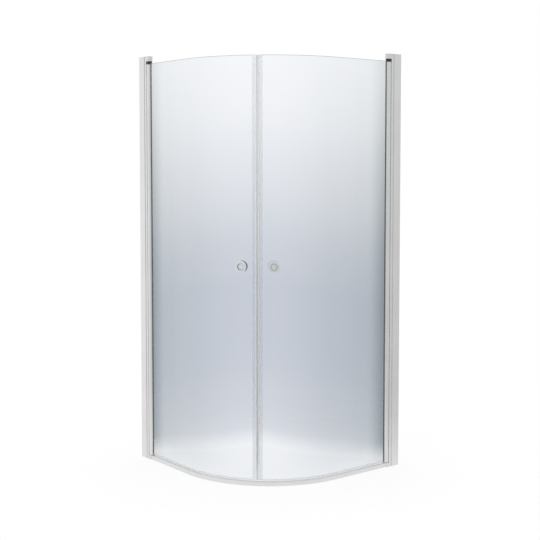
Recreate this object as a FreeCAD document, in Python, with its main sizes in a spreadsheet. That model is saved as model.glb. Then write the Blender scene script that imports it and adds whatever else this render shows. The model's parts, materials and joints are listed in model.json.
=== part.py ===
import FreeCAD, Part
import math
import os

import Sketcher

# Corner shower enclosure with a round front: two curved glass doors on rising hinges.
# The room corner lies at x = -half, y = +half. The right wall is the plane y = +half and
# the left wall the plane x = -half, so the left side mirrors the right across x + y = 0.
# The origin is on the floor, in the middle of the square that the enclosure fills.

SIZES = [
    # Whole enclosure
    ("nominal_width", 900, "room corner to the outer face of either profile"),
    ("profile_height", 1980, "floor to the top of the profiles"),
    ("arc_centre_distance", 400, "each wall to the centre of the round front"),
    ("hinge_wall_distance", 70, "wall to the hinge axis"),
    ("door_lift", 8, "rise of a door over its full swing"),
    ("swing_angle", 100, "full outward swing of a door, degrees"),
    # Wall profile: the channel that is screwed to the wall
    ("wall_profile_depth", 45, "wall to the edge of the channel's flanges"),
    ("wall_profile_web", 2, "thickness of the web on the wall"),
    ("wall_profile_wall", 1.8, "thickness of the flanges"),
    ("wall_hole_radius", 3, "wall screw holes"),
    ("wall_hole_inset", 180, "floor to the lowest wall screw, and top to the highest"),
    ("wall_hole_count", 4, "wall screws in a profile"),
    # Hinge post: the hollow section that slides in the wall profile
    ("telescope_gap", 0.2, "wall profile to hinge post, each side"),
    ("post_back_distance", 14, "wall to the back of the post"),
    ("post_wall", 1.8, "thickness of the post's walls"),
    ("lip_setback", 8.5, "hinge axis to the lips of the post's cup"),
    ("cup_gap", 0.4, "barrel to the cup that it turns in"),
    ("groove_width", 4, "groove for the barrel seal"),
    ("groove_depth", 2.2, "groove for the barrel seal"),
    ("seal_running_gap", 0.2, "barrel seal to barrel"),
    # Screws that clamp the post in the wall profile and hold the hinge blocks
    ("screw_radius", 2, "shank of the clamp and block screws"),
    ("screw_hole_gap", 0.1, "shank to its hole"),
    ("screw_head_radius", 3.4, "pan head"),
    ("screw_head_height", 2.4, "pan head"),
    ("screw_length", 9, "under the head"),
    ("recess_reach", 1.9, "cross recess, middle to the end of an arm"),
    ("recess_width", 0.9, "cross recess, width of an arm"),
    ("recess_depth", 1.5, "cross recess"),
    ("clamp_screw_distance", 36, "wall to the clamp screws"),
    ("clamp_screw_inset", 300, "floor to the lowest clamp screw, and top to the highest"),
    ("clamp_screw_count", 3, "clamp screws in a profile"),
    ("block_screw_setback", 4.2, "flange edge to the block screws"),
    # Hinge blocks at the two ends of the post
    ("top_block_height", 24, "nose of the top block"),
    ("foot_height", 20, "nose of the bottom block"),
    ("nose_proud", 1, "nose radius beyond the barrel radius"),
    ("nose_round", 1.2, "rounded rims of the noses and caps"),
    ("block_plate", 4, "plate between a nose and its tongue"),
    ("tongue_length", 36, "tongue that plugs into the post"),
    ("tongue_gap", 0.2, "tongue to post"),
    ("cap_thickness", 2.5, "cap on the profile's top"),
    ("cap_skirt", 10, "depth of the cap's plug"),
    # Hinge barrel: the round bar that grips the glass
    ("barrel_radius", 14, "outside of the barrel"),
    ("port_radius", 5, "bore along the barrel"),
    ("port_wall", 1, "bore to the floor of the glass channel"),
    ("relief_wall", 1.8, "walls round the hollow behind the bore"),
    ("relief_half_angle", 62, "half the arc of that hollow, degrees"),
    ("top_gap", 12, "top block to barrel with the door shut"),
    ("foot_gap", 2, "bottom block to barrel with the door shut"),
    ("plug_flange", 3, "flange of the top plug"),
    ("slot_gap", 0.2, "glass to the roof of the top plug's slot"),
    ("collar_inset", 1.5, "collar of the top plug, inside the barrel's outside"),
    ("collar_overlap", 0.5, "collar inside the top block with the door shut"),
    ("collar_gap", 0.4, "collar to its well in the top block"),
    ("collar_room", 0.6, "collar to the top bush with the door lifted"),
    ("cam_flange", 4, "flange of the rising cam"),
    ("sleeve_length", 35, "plug sleeves inside the barrel"),
    ("sleeve_gap", 0.1, "sleeve to bore"),
    # Pivot pins: round in the blocks, hexagonal in the barrel
    ("journal_radius", 3, "round end of a pin"),
    ("journal_gap", 0.05, "running clearance of the round end"),
    ("pin_flats", 6, "hexagon across flats"),
    ("key_gap", 0.1, "hexagon to its socket, each flat"),
    ("shoulder_gap", 0.2, "axial play of a pin"),
    ("pin_reach", 30, "hexagon beyond the end of the barrel"),
    ("pin_floor", 3, "floor under the lower pin"),
    ("bush_radius", 5, "outside of the top bush"),
    ("bush_length", 8, "top bush inside the block"),
    ("bush_flange", 1.5, "collar of the top bush"),
    ("bush_flange_radius", 8, "collar of the top bush"),
    ("clip_radius", 4.4, "retaining clip of the upper pin"),
    ("clip_thickness", 1, "retaining clip of the upper pin"),
    # Rising cams: helical ramps in the bottom block and teeth under the barrel
    ("cam_radius", 10, "outside of the ramp ring"),
    ("cam_inset", 0.5, "ramps and teeth inside the ring's edge"),
    ("cam_inner_radius", 5.2, "inside of the ramps"),
    ("cam_base", 2, "ring under the ramps"),
    ("cam_gap", 0.3, "teeth to ramps"),
    ("well_gap", 0.1, "ramp ring to its well"),
    ("tooth_angle", 36, "arc of a tooth, degrees"),
    ("tooth_lead", 8, "ramp ahead of and behind a tooth, degrees"),
    ("tooth_root", 0.5, "tooth inside the flange that carries it"),
    # Glass and its seals
    ("glass_thickness", 6, "toughened glass"),
    ("glass_top_proud", 2, "glass above the barrel"),
    ("gasket_wall", 2, "gasket on each face of the glass"),
    ("gasket_base", 1, "gasket under the glass edge"),
    ("gasket_lip", 2.5, "gasket in front of the barrel"),
    ("gasket_tip", 0.5, "gasket at the tip of its lips"),
    ("seam_gap", 0.8, "between the two closing strips"),
    ("magnet_depth", 4.5, "magnet chamber, along the front"),
    ("magnet_half_thickness", 5, "magnet chamber, half across the front"),
    ("magnet_gap", 0.1, "magnet to its chamber"),
    ("strip_wall", 1.2, "walls of the clear strips"),
    ("strip_round", 1.5, "corners of the closing strips"),
    ("strip_overlap", 17.5, "closing strip on the glass"),
    ("strip_gap", 0.5, "between strips that meet"),
    ("wiper_height", 7, "bottom strip on the glass"),
    ("wiper_lip", 4, "drop of the bottom strip's lip"),
    ("wiper_lip_thickness", 1.2, "bottom strip's lip"),
    ("sill_running_gap", 0.6, "lip to sill"),
    # Sill: the bent channel on the floor under the doors
    ("sill_height", 20, "floor to the top of the sill"),
    ("sill_outside", 10, "middle of the glass to the sill's front"),
    ("sill_inside", 14, "middle of the glass to the sill's back"),
    ("sill_wall", 2.5, "walls of the channel"),
    ("sill_front_round", 5, "front edge"),
    ("sill_back_round", 3, "back edge"),
    ("sill_end_gap", 0.3, "sill to the bottom blocks"),
    # Knobs
    ("knob_height", 1000, "floor to the knobs"),
    ("knob_offset", 74, "closing seam to the knobs, along the glass"),
    ("knob_hole_radius", 6, "hole in the glass"),
    ("knob_radius", 27, "rim of a knob"),
    ("knob_neck_radius", 12, "neck of a knob"),
    ("knob_neck_length", 1, "straight part of the neck"),
    ("knob_projection", 10, "washer to the front of a knob"),
    ("knob_rim", 3, "rounding of the rim, in front"),
    ("knob_rim_back", 2, "rounding of the rim, behind"),
    ("knob_cup_radius", 14.5, "finger cup in the front of a knob"),
    ("knob_cup_depth", 4, "finger cup in the front of a knob"),
    ("knob_groove_width", 1.1, "groove round the floor of the cup"),
    ("knob_groove_depth", 2, "groove round the floor of the cup"),
    ("knob_dish_depth", 0.8, "dish in the floor of the cup"),
    ("stud_radius", 4, "stud through the glass"),
    ("stud_depth", 4, "stud inside each knob"),
    ("washer_radius", 14, "washers on the glass"),
    ("washer_thickness", 1.5, "washers on the glass"),
    ("washer_seat", 0.3, "play on the curved glass"),
]

MIDDLE_ANGLE = 45
LEVEL_TOLERANCE = 0.001
LEFT_TURN = "left"
RIGHT_TURN = "right"


class Size:
    """A number together with the expression of sheet cells that it comes from."""

    def __init__(self, value, text):
        self.value = float(value)
        self.text = text

    def __add__(self, other):
        other = size(other)
        return Size(self.value + other.value, f"({self.text} + {other.text})")

    def __sub__(self, other):
        other = size(other)
        return Size(self.value - other.value, f"({self.text} - {other.text})")

    def __mul__(self, other):
        other = size(other)
        return Size(self.value * other.value, f"({self.text} * {other.text})")

    def __truediv__(self, other):
        other = size(other)
        return Size(self.value / other.value, f"({self.text} / {other.text})")

    def __neg__(self):
        return Size(-self.value, f"(0 - {self.text})")

    def __rsub__(self, other):
        return size(other) - self

    __radd__ = __add__
    __rmul__ = __mul__


def size(number):
    """Any number as a Size."""
    return number if isinstance(number, Size) else Size(number, repr(number))


def root(square):
    """Square root of a Size."""
    return Size(math.sqrt(square.value), f"sqrt({square.text})")


def cosine(angle):
    """Cosine of an angle in degrees."""
    angle = size(angle)
    return Size(math.cos(math.radians(angle.value)), f"cos({angle.text})")


def sine(angle):
    """Sine of an angle in degrees."""
    angle = size(angle)
    return Size(math.sin(math.radians(angle.value)), f"sin({angle.text})")


def across(radius, height):
    """Distance along one axis to a circle's point that lies a height along the other."""
    return root(radius * radius - height * height)


def arc_degrees(length, radius):
    """Angle in degrees that an arc length takes up on a radius."""
    return length / radius * Size(180 / math.pi, "(180 / pi)")


doc = FreeCAD.newDocument("shower_enclosure")
sheet = doc.addObject("Spreadsheet::Sheet", "Sizes")
for row, (alias, number, note) in enumerate(SIZES, start=1):
    sheet.set(f"A{row}", alias)
    sheet.set(f"B{row}", str(number))
    sheet.set(f"C{row}", note)
    sheet.setAlias(f"B{row}", alias)
doc.recompute()
S = {alias: Size(number, f"Sizes.{alias}") for alias, number, note in SIZES}


def bind(item, name, value):
    """Set a property and tie it to the sheet."""
    value = size(value)
    item.setExpression(name, value.text)


def place(item, x=0, y=0, z=0, turn=None):
    """Put an object at a point, turned about the vertical."""
    for axis, value in zip("xyz", (x, y, z)):
        bind(item, f"Placement.Base.{axis}", value)
    if turn is not None:
        bind(item, "Placement.Rotation.Angle", turn)


def body(label, x=0, y=0, z=0, turn=None, group=False):
    """An empty body at its place; a group may hold several solids."""
    item = doc.addObject("PartDesign::Body", label)
    item.Label = label
    item.AllowCompound = group
    place(item, x, y, z, turn)
    return item


def origin_plane(item, role):
    """One of a body's own origin planes or axes."""
    return next(part for part in item.Origin.OriginFeatures if part.Role == role)


def draw_circle(sketch, circle, prefix):
    """Add a circle given as centre x, centre y and radius."""
    x, y, radius = (size(value) for value in circle)
    centre = FreeCAD.Vector(x.value, y.value, 0)
    index = sketch.addGeometry(Part.Circle(centre, FreeCAD.Vector(0, 0, 1), radius.value), False)
    pin_down(sketch, "DistanceX", index, 3, x, prefix + "x")
    pin_down(sketch, "DistanceY", index, 3, y, prefix + "y")
    number = sketch.addConstraint(Sketcher.Constraint("Radius", index, radius.value))
    sketch.renameConstraint(number, prefix + "r")
    bind(sketch, f"Constraints.{prefix}r", radius)


def pin_down(sketch, kind, index, point, value, name):
    """Tie one coordinate of a sketch point to the sheet."""
    constraint = Sketcher.Constraint(kind, -1, 1, index, point, value.value)
    sketch.renameConstraint(sketch.addConstraint(constraint), name)
    bind(sketch, f"Constraints.{name}", value)


def add_edge(sketch, start, step):
    """Add one line or arc and give its index and the numbers of its two ends."""
    corner = FreeCAD.Vector(start[0].value, start[1].value, 0)
    end = FreeCAD.Vector(step[0].value, step[1].value, 0)
    if len(step) == 2:
        return sketch.addGeometry(Part.LineSegment(corner, end), False), 1, 2
    centre = FreeCAD.Vector(step[2].value, step[3].value, 0)
    circle = Part.Circle(centre, FreeCAD.Vector(0, 0, 1), (corner - centre).Length)
    first, last = (corner, end) if step[4] == LEFT_TURN else (end, corner)
    angles = [math.atan2(*((point - centre)[axis] for axis in (1, 0))) for point in (first, last)]
    index = sketch.addGeometry(Part.ArcOfCircle(circle, *angles), False)
    return (index, 1, 2) if step[4] == LEFT_TURN else (index, 2, 1)


def draw_outline(sketch, steps, prefix, closed=True):
    """Add an outline. Each step is a corner (x, y) reached by a line from the corner before,
    or (x, y, centre x, centre y, turn) reached by an arc. An open outline starts at its first
    corner."""
    steps = [[*(size(value) for value in step[:4]), *step[4:]] for step in steps]
    pairs = list(zip(steps[-1:] + steps[:-1], steps)) if closed else list(zip(steps, steps[1:]))
    edges = [add_edge(sketch, before, step) for before, step in pairs]
    following = edges[1:] + edges[:1] if closed else edges[1:]
    for (index, _, end), (after, start, _) in zip(edges, following):
        sketch.addConstraint(Sketcher.Constraint("Coincident", index, end, after, start))
    if not closed:
        pin_down(sketch, "DistanceX", edges[0][0], edges[0][1], steps[0][0], prefix + "startx")
        pin_down(sketch, "DistanceY", edges[0][0], edges[0][1], steps[0][1], prefix + "starty")
    for number, ((before, step), (index, _, end)) in enumerate(zip(pairs, edges)):
        pin_down(sketch, "DistanceX", index, end, step[0], f"{prefix}{number}x")
        pin_down(sketch, "DistanceY", index, end, step[1], f"{prefix}{number}y")
        if len(step) > 2:
            level = abs(step[0].value - before[0].value) >= abs(step[1].value - before[1].value)
            kind, value = ("DistanceY", step[3]) if level else ("DistanceX", step[2])
            pin_down(sketch, kind, index, 3, value, f"{prefix}{number}c")


def sketch_on(item, plane, outlines=(), circles=(), path=None, offset=0):
    """A sketch on an origin plane of a body, moved along the plane's normal."""
    sketch = item.newObject("Sketcher::SketchObject", item.Label + "_sketch")
    sketch.AttachmentSupport = [(origin_plane(item, plane), "")]
    sketch.MapMode = "FlatFace"
    bind(sketch, "AttachmentOffset.Base.z", offset)
    for number, steps in enumerate(outlines):
        draw_outline(sketch, steps, f"line{number}_")
    for number, circle in enumerate(circles):
        draw_circle(sketch, circle, f"ring{number}_")
    if path:
        draw_outline(sketch, path, "path_", closed=False)
    doc.recompute()
    return sketch


def feature(item, kind, profile, **values):
    """A PartDesign feature on a sketch, with its numbers tied to the sheet."""
    added = item.newObject(f"PartDesign::{kind}", f"{item.Label}_{kind}")
    added.Profile = profile
    for name, value in values.items():
        if isinstance(value, (Size, int, float)) and not isinstance(value, bool):
            bind(added, name, value)
        else:
            setattr(added, name, value)
    doc.recompute()
    return added


def pad(item, outlines=(), circles=(), length=0, base=0):
    """Extrude a plan outline upwards."""
    return feature(item, "Pad", sketch_on(item, "XY_Plane", outlines, circles, offset=base), Length=length)


def revolve(item, outlines):
    """Turn an outline of (along, radius) about the body's X axis."""
    sketch = sketch_on(item, "XZ_Plane", outlines)
    return feature(item, "Revolution", sketch, ReferenceAxis=(sketch, ["H_Axis"]), Angle=360)


def drill(item, plane, circles):
    """Cut round holes from an origin plane, against its normal, through all that lies there."""
    sketch = sketch_on(item, plane, circles=circles)
    return sketch, feature(item, "Pocket", sketch, Type="ThroughAll")


def row_up(item, originals, sketch, count, length):
    """Repeat features up the height of a piece."""
    pattern = item.newObject("PartDesign::LinearPattern", item.Label + "_row")
    pattern.Originals = originals
    pattern.Direction = (sketch, ["V_Axis"])
    bind(pattern, "Length", length)
    bind(pattern, "Occurrences", count)
    item.Tip = pattern
    doc.recompute()


def round_pair(item, original):
    """Repeat a feature half a turn further round."""
    pattern = item.newObject("PartDesign::PolarPattern", item.Label + "_pair")
    pattern.Originals = [original]
    pattern.Axis = (origin_plane(item, "Z_Axis"), [""])
    pattern.Angle = 360
    pattern.Occurrences = 2
    item.Tip = pattern
    doc.recompute()
    return pattern


def box(x0, x1, y0, y1):
    """Outline of a rectangle."""
    return [(x0, y0), (x1, y0), (x1, y1), (x0, y1)]


def round_rim(item, level, chosen):
    """Round the edges of a body that lie at a level and whose middle is chosen."""
    last = item.Tip
    names = [f"Edge{number}" for number, edge in enumerate(last.Shape.Edges, start=1)
             if max(abs(edge.BoundBox.ZMin - level.value), edge.BoundBox.ZLength) < LEVEL_TOLERANCE
             and chosen(edge.CenterOfMass)]
    rim = item.newObject("PartDesign::Fillet", item.Label + "_rim")
    rim.Base = (last, names)
    bind(rim, "Radius", S["nose_round"])
    doc.recompute()


def ahead_of_lips(point):
    """Whether a point of a hinge block lies in front of the post's lips."""
    return point.y < S["lip_setback"].value - LEVEL_TOLERANCE


def hexagon(flats):
    """Outline of a hexagon across its flats."""
    corner = flats / root(size(3))
    spokes = [60 * number for number in range(6)]
    return [(corner * cosine(angle), corner * sine(angle)) for angle in spokes]


def pipe(item, section, path):
    """Carry a section along a path of lines and arcs."""
    spine = [f"Edge{number + 1}" for number in range(len(path.Geometry))]
    return feature(item, "AdditivePipe", section, Spine=(path, spine))


# Places that several pieces share
half = S["nominal_width"] / 2
axis_inset = S["wall_profile_wall"] + S["telescope_gap"] + S["barrel_radius"]
hinge_x = half - axis_inset
hinge_y = half - S["hinge_wall_distance"]
arc_x = S["arc_centre_distance"] - half
arc_y = half - S["arc_centre_distance"]
glass_radius = hinge_x - arc_x
hinge_run = hinge_y - arc_y
half_glass = S["glass_thickness"] / 2
nose_radius = S["barrel_radius"] + S["nose_proud"]
cup_radius = S["barrel_radius"] + S["cup_gap"]
profile_half_width = axis_inset
post_half_width = S["barrel_radius"]
wall_y = S["hinge_wall_distance"]
flange_y = wall_y - S["wall_profile_depth"]
post_back_y = wall_y - S["post_back_distance"]
post_front_wall_y = cup_radius + S["groove_depth"] + S["post_wall"]
chamber_half_width = post_half_width - S["post_wall"]
chamber_back_y = post_back_y - S["post_wall"]
block_screw_y = flange_y - S["block_screw_setback"]
block_screw_rise = S["block_plate"] + S["tongue_length"] / 2
profile_top = S["profile_height"] - S["cap_thickness"]
post_top = profile_top - S["block_plate"]
block_bottom = S["profile_height"] - S["top_block_height"]
barrel_top = block_bottom - S["top_gap"]
barrel_bottom = S["foot_height"] + S["foot_gap"]
tube_bottom = barrel_bottom + S["cam_flange"]
tube_top = barrel_top - S["plug_flange"]
collar_radius = S["barrel_radius"] - S["collar_inset"]
collar_height = S["top_gap"] + S["collar_overlap"]
well_roof = block_bottom + S["collar_overlap"] + S["door_lift"] + S["collar_room"] + S["bush_flange"]
glass_bottom = tube_bottom
glass_top = barrel_top + S["glass_top_proud"]
channel_floor = S["port_radius"] + S["port_wall"]
channel_half_width = half_glass + S["gasket_wall"]
glass_edge = channel_floor + S["gasket_base"]
gasket_end = S["barrel_radius"] + S["gasket_lip"]
seam_half = S["seam_gap"] / 2
glass_end = seam_half + S["magnet_depth"] + S["strip_wall"]
strip_end = glass_end + S["strip_overlap"]
ramp_angle = S["swing_angle"] + S["tooth_angle"] + 2 * S["tooth_lead"]
cam_pitch = S["door_lift"] * 360 / S["swing_angle"]
ramp_rise = cam_pitch * ramp_angle / 360
ramp_lead = cam_pitch * S["tooth_lead"] / 360
ramp_start = S["cam_base"] - ramp_lead / 2
well_floor = S["foot_height"] - ramp_start - ramp_rise - S["cam_gap"]
ring_top = well_floor + S["cam_base"]
knob_angle = arc_degrees(S["knob_offset"], glass_radius) - MIDDLE_ANGLE


def hinge_body(label, z=0, turn=None, group=False):
    """A body whose origin is on the right-hand hinge axis."""
    return body(label, hinge_x, hinge_y, z, turn, group)


def arc_body(label, z=0, turn=None):
    """A body whose origin is the centre of the round front."""
    return body(label, arc_x, arc_y, z, turn)


def wall_profile():
    """Channel on the wall, with holes for wall screws and for the clamp screws."""
    item = hinge_body("wall_profile_right")
    outer, inner = profile_half_width, profile_half_width - S["wall_profile_wall"]
    web_y = wall_y - S["wall_profile_web"]
    channel = [(outer, flange_y), (outer, wall_y), (-outer, wall_y), (-outer, flange_y),
               (-inner, flange_y), (-inner, web_y), (inner, web_y), (inner, flange_y)]
    pad(item, [channel], length=profile_top)
    inset = S["wall_hole_inset"]
    sketch, hole = drill(item, "XZ_Plane", [(0, inset, S["wall_hole_radius"])])
    row_up(item, [hole], sketch, S["wall_hole_count"], S["profile_height"] - 2 * inset)
    drill_clamp_holes(item)


def drill_clamp_holes(item):
    """Row of clamp screw holes in the wall that faces into the enclosure."""
    inset = S["clamp_screw_inset"]
    radius = S["screw_radius"] + S["screw_hole_gap"]
    sketch, hole = drill(item, "YZ_Plane", [(wall_y - S["clamp_screw_distance"], inset, radius)])
    row_up(item, [hole], sketch, S["clamp_screw_count"], S["profile_height"] - 2 * inset)


def hinge_post():
    """Hollow section with a round cup for the barrel along its front."""
    item = hinge_body("hinge_post_right")
    edge, lip = post_half_width, S["lip_setback"]
    cup_edge = across(cup_radius, lip)
    groove = S["groove_width"] / 2
    groove_mouth = across(cup_radius, groove)
    groove_floor = cup_radius + S["groove_depth"]
    section = [(edge, lip), (edge, post_back_y), (-edge, post_back_y), (-edge, lip), (-cup_edge, lip),
               (-groove, groove_mouth, 0, 0, RIGHT_TURN), (-groove, groove_floor), (groove, groove_floor),
               (groove, groove_mouth), (cup_edge, lip, 0, 0, RIGHT_TURN)]
    chamber = box(-chamber_half_width, chamber_half_width, post_front_wall_y, chamber_back_y)
    pad(item, [section, chamber], length=post_top - S["block_plate"], base=S["block_plate"])
    drill_clamp_holes(item)
    radius = S["screw_radius"] + S["screw_hole_gap"]
    ends = [block_screw_rise, profile_top - block_screw_rise]
    drill(item, "YZ_Plane", [(block_screw_y, height, radius) for height in ends])


def barrel_seal():
    """Soft strip in the cup's groove that keeps spray from passing behind the barrel."""
    item = hinge_body("barrel_seal_right", S["block_plate"])
    groove = S["groove_width"] / 2
    face = S["barrel_radius"] + S["seal_running_gap"]
    pad(item, [box(-groove, groove, face, cup_radius + S["groove_depth"])],
        length=post_top - S["block_plate"])


def screw(item):
    """Pan head screw along the X axis, with its head and its cross recess at the negative end."""
    head, shank = S["screw_head_radius"], S["screw_radius"]
    crown = S["screw_head_height"]
    flat = crown / 2
    end = S["screw_length"]
    turned = revolve(item, [[(-crown, 0), (-crown, head - flat),
                             (-flat, head, -flat, head - flat, RIGHT_TURN),
                             (0, head), (0, shank), (end, shank), (end, 0)]])
    reach, arm = S["recess_reach"], S["recess_width"] / 2
    cross = [(reach, -arm), (reach, arm), (arm, arm), (arm, reach), (-arm, reach), (-arm, arm),
             (-reach, arm), (-reach, -arm), (-arm, -arm), (-arm, -reach), (arm, -reach), (arm, -arm)]
    sketch = sketch_on(item, "YZ_Plane", [cross], offset=-crown)
    recess = feature(item, "Pocket", sketch, Length=S["recess_depth"], Reversed=True)
    return sketch, [turned, recess]


def screws():
    """Clamp screws through the channel into the post, and the screws of the two blocks."""
    inset = S["clamp_screw_inset"]
    clamp_x = hinge_x - profile_half_width
    clamp = body("clamp_screws_right", clamp_x, half - S["clamp_screw_distance"], inset, group=True)
    sketch, cuts = screw(clamp)
    row_up(clamp, cuts, sketch, S["clamp_screw_count"], S["profile_height"] - 2 * inset)
    block = body("block_screws_right", hinge_x - post_half_width, hinge_y + block_screw_y,
                 block_screw_rise, group=True)
    sketch, cuts = screw(block)
    row_up(block, cuts, sketch, 2, profile_top - 2 * block_screw_rise)


def nose_outline():
    """Plan of a hinge block's nose: round in front, flat where it meets the post."""
    lip = S["lip_setback"]
    return [(nose_radius, lip), (-nose_radius, lip), (-nose_radius, 0), (nose_radius, 0, 0, 0, LEFT_TURN)]


def block_plate_and_tongue(item, plate_base, tongue_base):
    """Plate across the end of the post and the tongue that plugs into its chamber."""
    plate = box(-post_half_width, post_half_width, S["lip_setback"], post_back_y)
    pad(item, [plate], length=S["block_plate"], base=plate_base)
    gap = S["tongue_gap"]
    side = chamber_half_width - gap
    tongue = box(-side, side, post_front_wall_y + gap, chamber_back_y - gap)
    pad(item, [tongue], length=S["tongue_length"], base=tongue_base)


def bottom_hinge_block():
    """Foot under the post: a nose with a well for the ramp ring and a hole for the pin."""
    item = hinge_body("bottom_hinge_block_right")
    pad(item, [nose_outline()], length=S["foot_height"])
    pad(item, circles=[(0, 0, cup_radius - S["tongue_gap"])], length=S["foot_height"])
    block_plate_and_tongue(item, 0, S["block_plate"])
    round_rim(item, S["foot_height"], ahead_of_lips)
    bore(item, S["cam_radius"] + S["well_gap"], S["foot_height"] - well_floor, S["foot_height"])
    bore(item, S["journal_radius"] + S["journal_gap"], well_floor - S["pin_floor"], well_floor)
    radius = S["screw_radius"] + S["screw_hole_gap"]
    drill(item, "YZ_Plane", [(block_screw_y, block_screw_rise, radius)])


def bore(item, radius, depth, top):
    """Cut a round hole downwards from a level."""
    sketch = sketch_on(item, "XY_Plane", circles=[(0, 0, radius)], offset=top)
    feature(item, "Pocket", sketch, Length=depth)


def top_hinge_block():
    """Block on the post: a nose with a well that the barrel's collar rises into, and a hole for the bush."""
    item = hinge_body("top_hinge_block_right")
    pad(item, [nose_outline()], length=S["top_block_height"], base=block_bottom)
    heel = (0, 0, cup_radius - S["tongue_gap"])
    pad(item, circles=[heel], length=profile_top - block_bottom, base=block_bottom)
    block_plate_and_tongue(item, post_top, post_top - S["tongue_length"])
    round_rim(item, S["profile_height"], ahead_of_lips)
    round_rim(item, block_bottom, ahead_of_lips)
    bore(item, collar_radius + S["collar_gap"], well_roof - block_bottom, well_roof)
    bush_hole = S["bush_length"] + 2 * S["shoulder_gap"] + 2 * S["clip_thickness"]
    bore(item, S["bush_radius"], bush_hole, well_roof + bush_hole)
    radius = S["screw_radius"] + S["screw_hole_gap"]
    drill(item, "YZ_Plane", [(block_screw_y, profile_top - block_screw_rise, radius)])


def profile_cap():
    """Cap on the wall profile and post, with a plug in the space behind the post."""
    item = hinge_body("profile_cap_right")
    edge = profile_half_width
    pad(item, [box(-edge, edge, S["lip_setback"] + S["tongue_gap"], wall_y)],
        length=S["cap_thickness"], base=profile_top)
    inner = profile_half_width - S["wall_profile_wall"] - S["tongue_gap"]
    gap = S["tongue_gap"]
    skirt = box(-inner, inner, post_back_y + gap, wall_y - S["wall_profile_web"] - gap)
    pad(item, [skirt], length=S["cap_skirt"], base=profile_top - S["cap_skirt"])
    round_rim(item, S["profile_height"], lambda point: abs(point.x) > inner.value)


def top_bush():
    """Plain bearing of the upper pin, pressed into the top block."""
    item = hinge_body("top_bush_right", well_roof)
    hole = (0, 0, S["journal_radius"] + S["journal_gap"])
    pad(item, circles=[(0, 0, S["bush_radius"]), hole], length=S["bush_length"])
    collar = S["bush_flange"]
    pad(item, circles=[(0, 0, S["bush_flange_radius"]), hole], length=collar, base=-collar)


def upper_pin():
    """Pin that turns in the top bush and slides in the barrel's top plug, with its clip."""
    item = hinge_body("upper_pivot_pin_right", well_roof)
    shoulder = -S["bush_flange"] - S["shoulder_gap"]
    tip = S["bush_length"] + S["shoulder_gap"] + S["clip_thickness"]
    end = block_bottom - S["top_gap"] - S["pin_reach"] - well_roof
    pad(item, circles=[(0, 0, S["journal_radius"])], length=tip - shoulder, base=shoulder)
    pad(item, [hexagon(S["pin_flats"])], length=shoulder - end, base=end)
    clip = hinge_body("pin_clip_right", well_roof + S["bush_length"] + S["shoulder_gap"])
    pad(clip, circles=[(0, 0, S["clip_radius"]), (0, 0, S["journal_radius"])], length=S["clip_thickness"])


def lower_pin():
    """Pin that turns in the bottom block and slides in the rising cam."""
    item = hinge_body("lower_pivot_pin_right")
    shoulder = ring_top + S["shoulder_gap"]
    pad(item, circles=[(0, 0, S["journal_radius"])], length=shoulder - S["pin_floor"], base=S["pin_floor"])
    pad(item, [hexagon(S["pin_flats"])], length=barrel_bottom + S["pin_reach"] - shoulder, base=shoulder)


def helix_ramp(item, inner, outer, low, high, angle):
    """Carry an upright rectangle round the axis while it climbs at the cam's pitch."""
    sketch = sketch_on(item, "XZ_Plane", [box(inner, outer, low, high)])
    climb = cam_pitch * angle / 360
    return feature(item, "AdditiveHelix", sketch, ReferenceAxis=(sketch, ["V_Axis"]),
                   Mode="pitch-height-angle", Pitch=cam_pitch, Height=climb)


def ramp_ring():
    """Fixed ring in the bottom block with two helical ramps that lift the door as it turns."""
    item = hinge_body("ramp_ring_right", well_floor, turn=-S["tooth_lead"])
    base = S["cam_base"]
    hole = (0, 0, S["journal_radius"] + S["journal_gap"])
    pad(item, circles=[(0, 0, S["cam_radius"]), hole], length=base)
    ramp = helix_ramp(item, S["cam_inner_radius"], S["cam_radius"] - S["cam_inset"],
                      ramp_start - ramp_rise, ramp_start, ramp_angle)
    round_pair(item, ramp)
    bore(item, 2 * S["cam_radius"], 2 * ramp_rise, 0)


def rising_cam():
    """Lower plug of the barrel, with two teeth that ride on the ramps and a socket for the pin."""
    item = hinge_body("rising_cam_right", barrel_bottom)
    socket = hexagon(S["pin_flats"] + 2 * S["key_gap"])
    flange = S["cam_flange"]
    tooth_low = well_floor + ramp_start + ramp_lead + S["cam_gap"] - barrel_bottom
    pad(item, [socket], [(0, 0, S["barrel_radius"])], length=flange)
    tooth = helix_ramp(item, S["cam_inner_radius"], S["cam_radius"] - S["cam_inset"],
                       tooth_low, S["tooth_root"], S["tooth_angle"])
    round_pair(item, tooth)
    pad(item, [socket], [(0, 0, S["port_radius"] - S["sleeve_gap"])], length=S["sleeve_length"], base=flange)


def barrel_plug():
    """Upper plug of the barrel: a collar that fills the gap to the top block and rises into its well,
    a socket for the pin and a slot for the glass."""
    item = hinge_body("barrel_plug_right", tube_top)
    socket = hexagon(S["pin_flats"] + 2 * S["key_gap"])
    pad(item, [socket], [(0, 0, S["barrel_radius"])], length=S["plug_flange"])
    pad(item, [socket], [(0, 0, collar_radius)], length=collar_height, base=S["plug_flange"])
    pad(item, [socket], [(0, 0, S["port_radius"] - S["sleeve_gap"])], length=S["sleeve_length"],
        base=-S["sleeve_length"])
    slot = box(-channel_half_width, channel_half_width, -2 * S["barrel_radius"], -channel_floor)
    slot_top = S["plug_flange"] + S["glass_top_proud"] + S["slot_gap"]
    cut = sketch_on(item, "XY_Plane", [slot], offset=slot_top)
    feature(item, "Pocket", cut, Length=slot_top)


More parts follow.
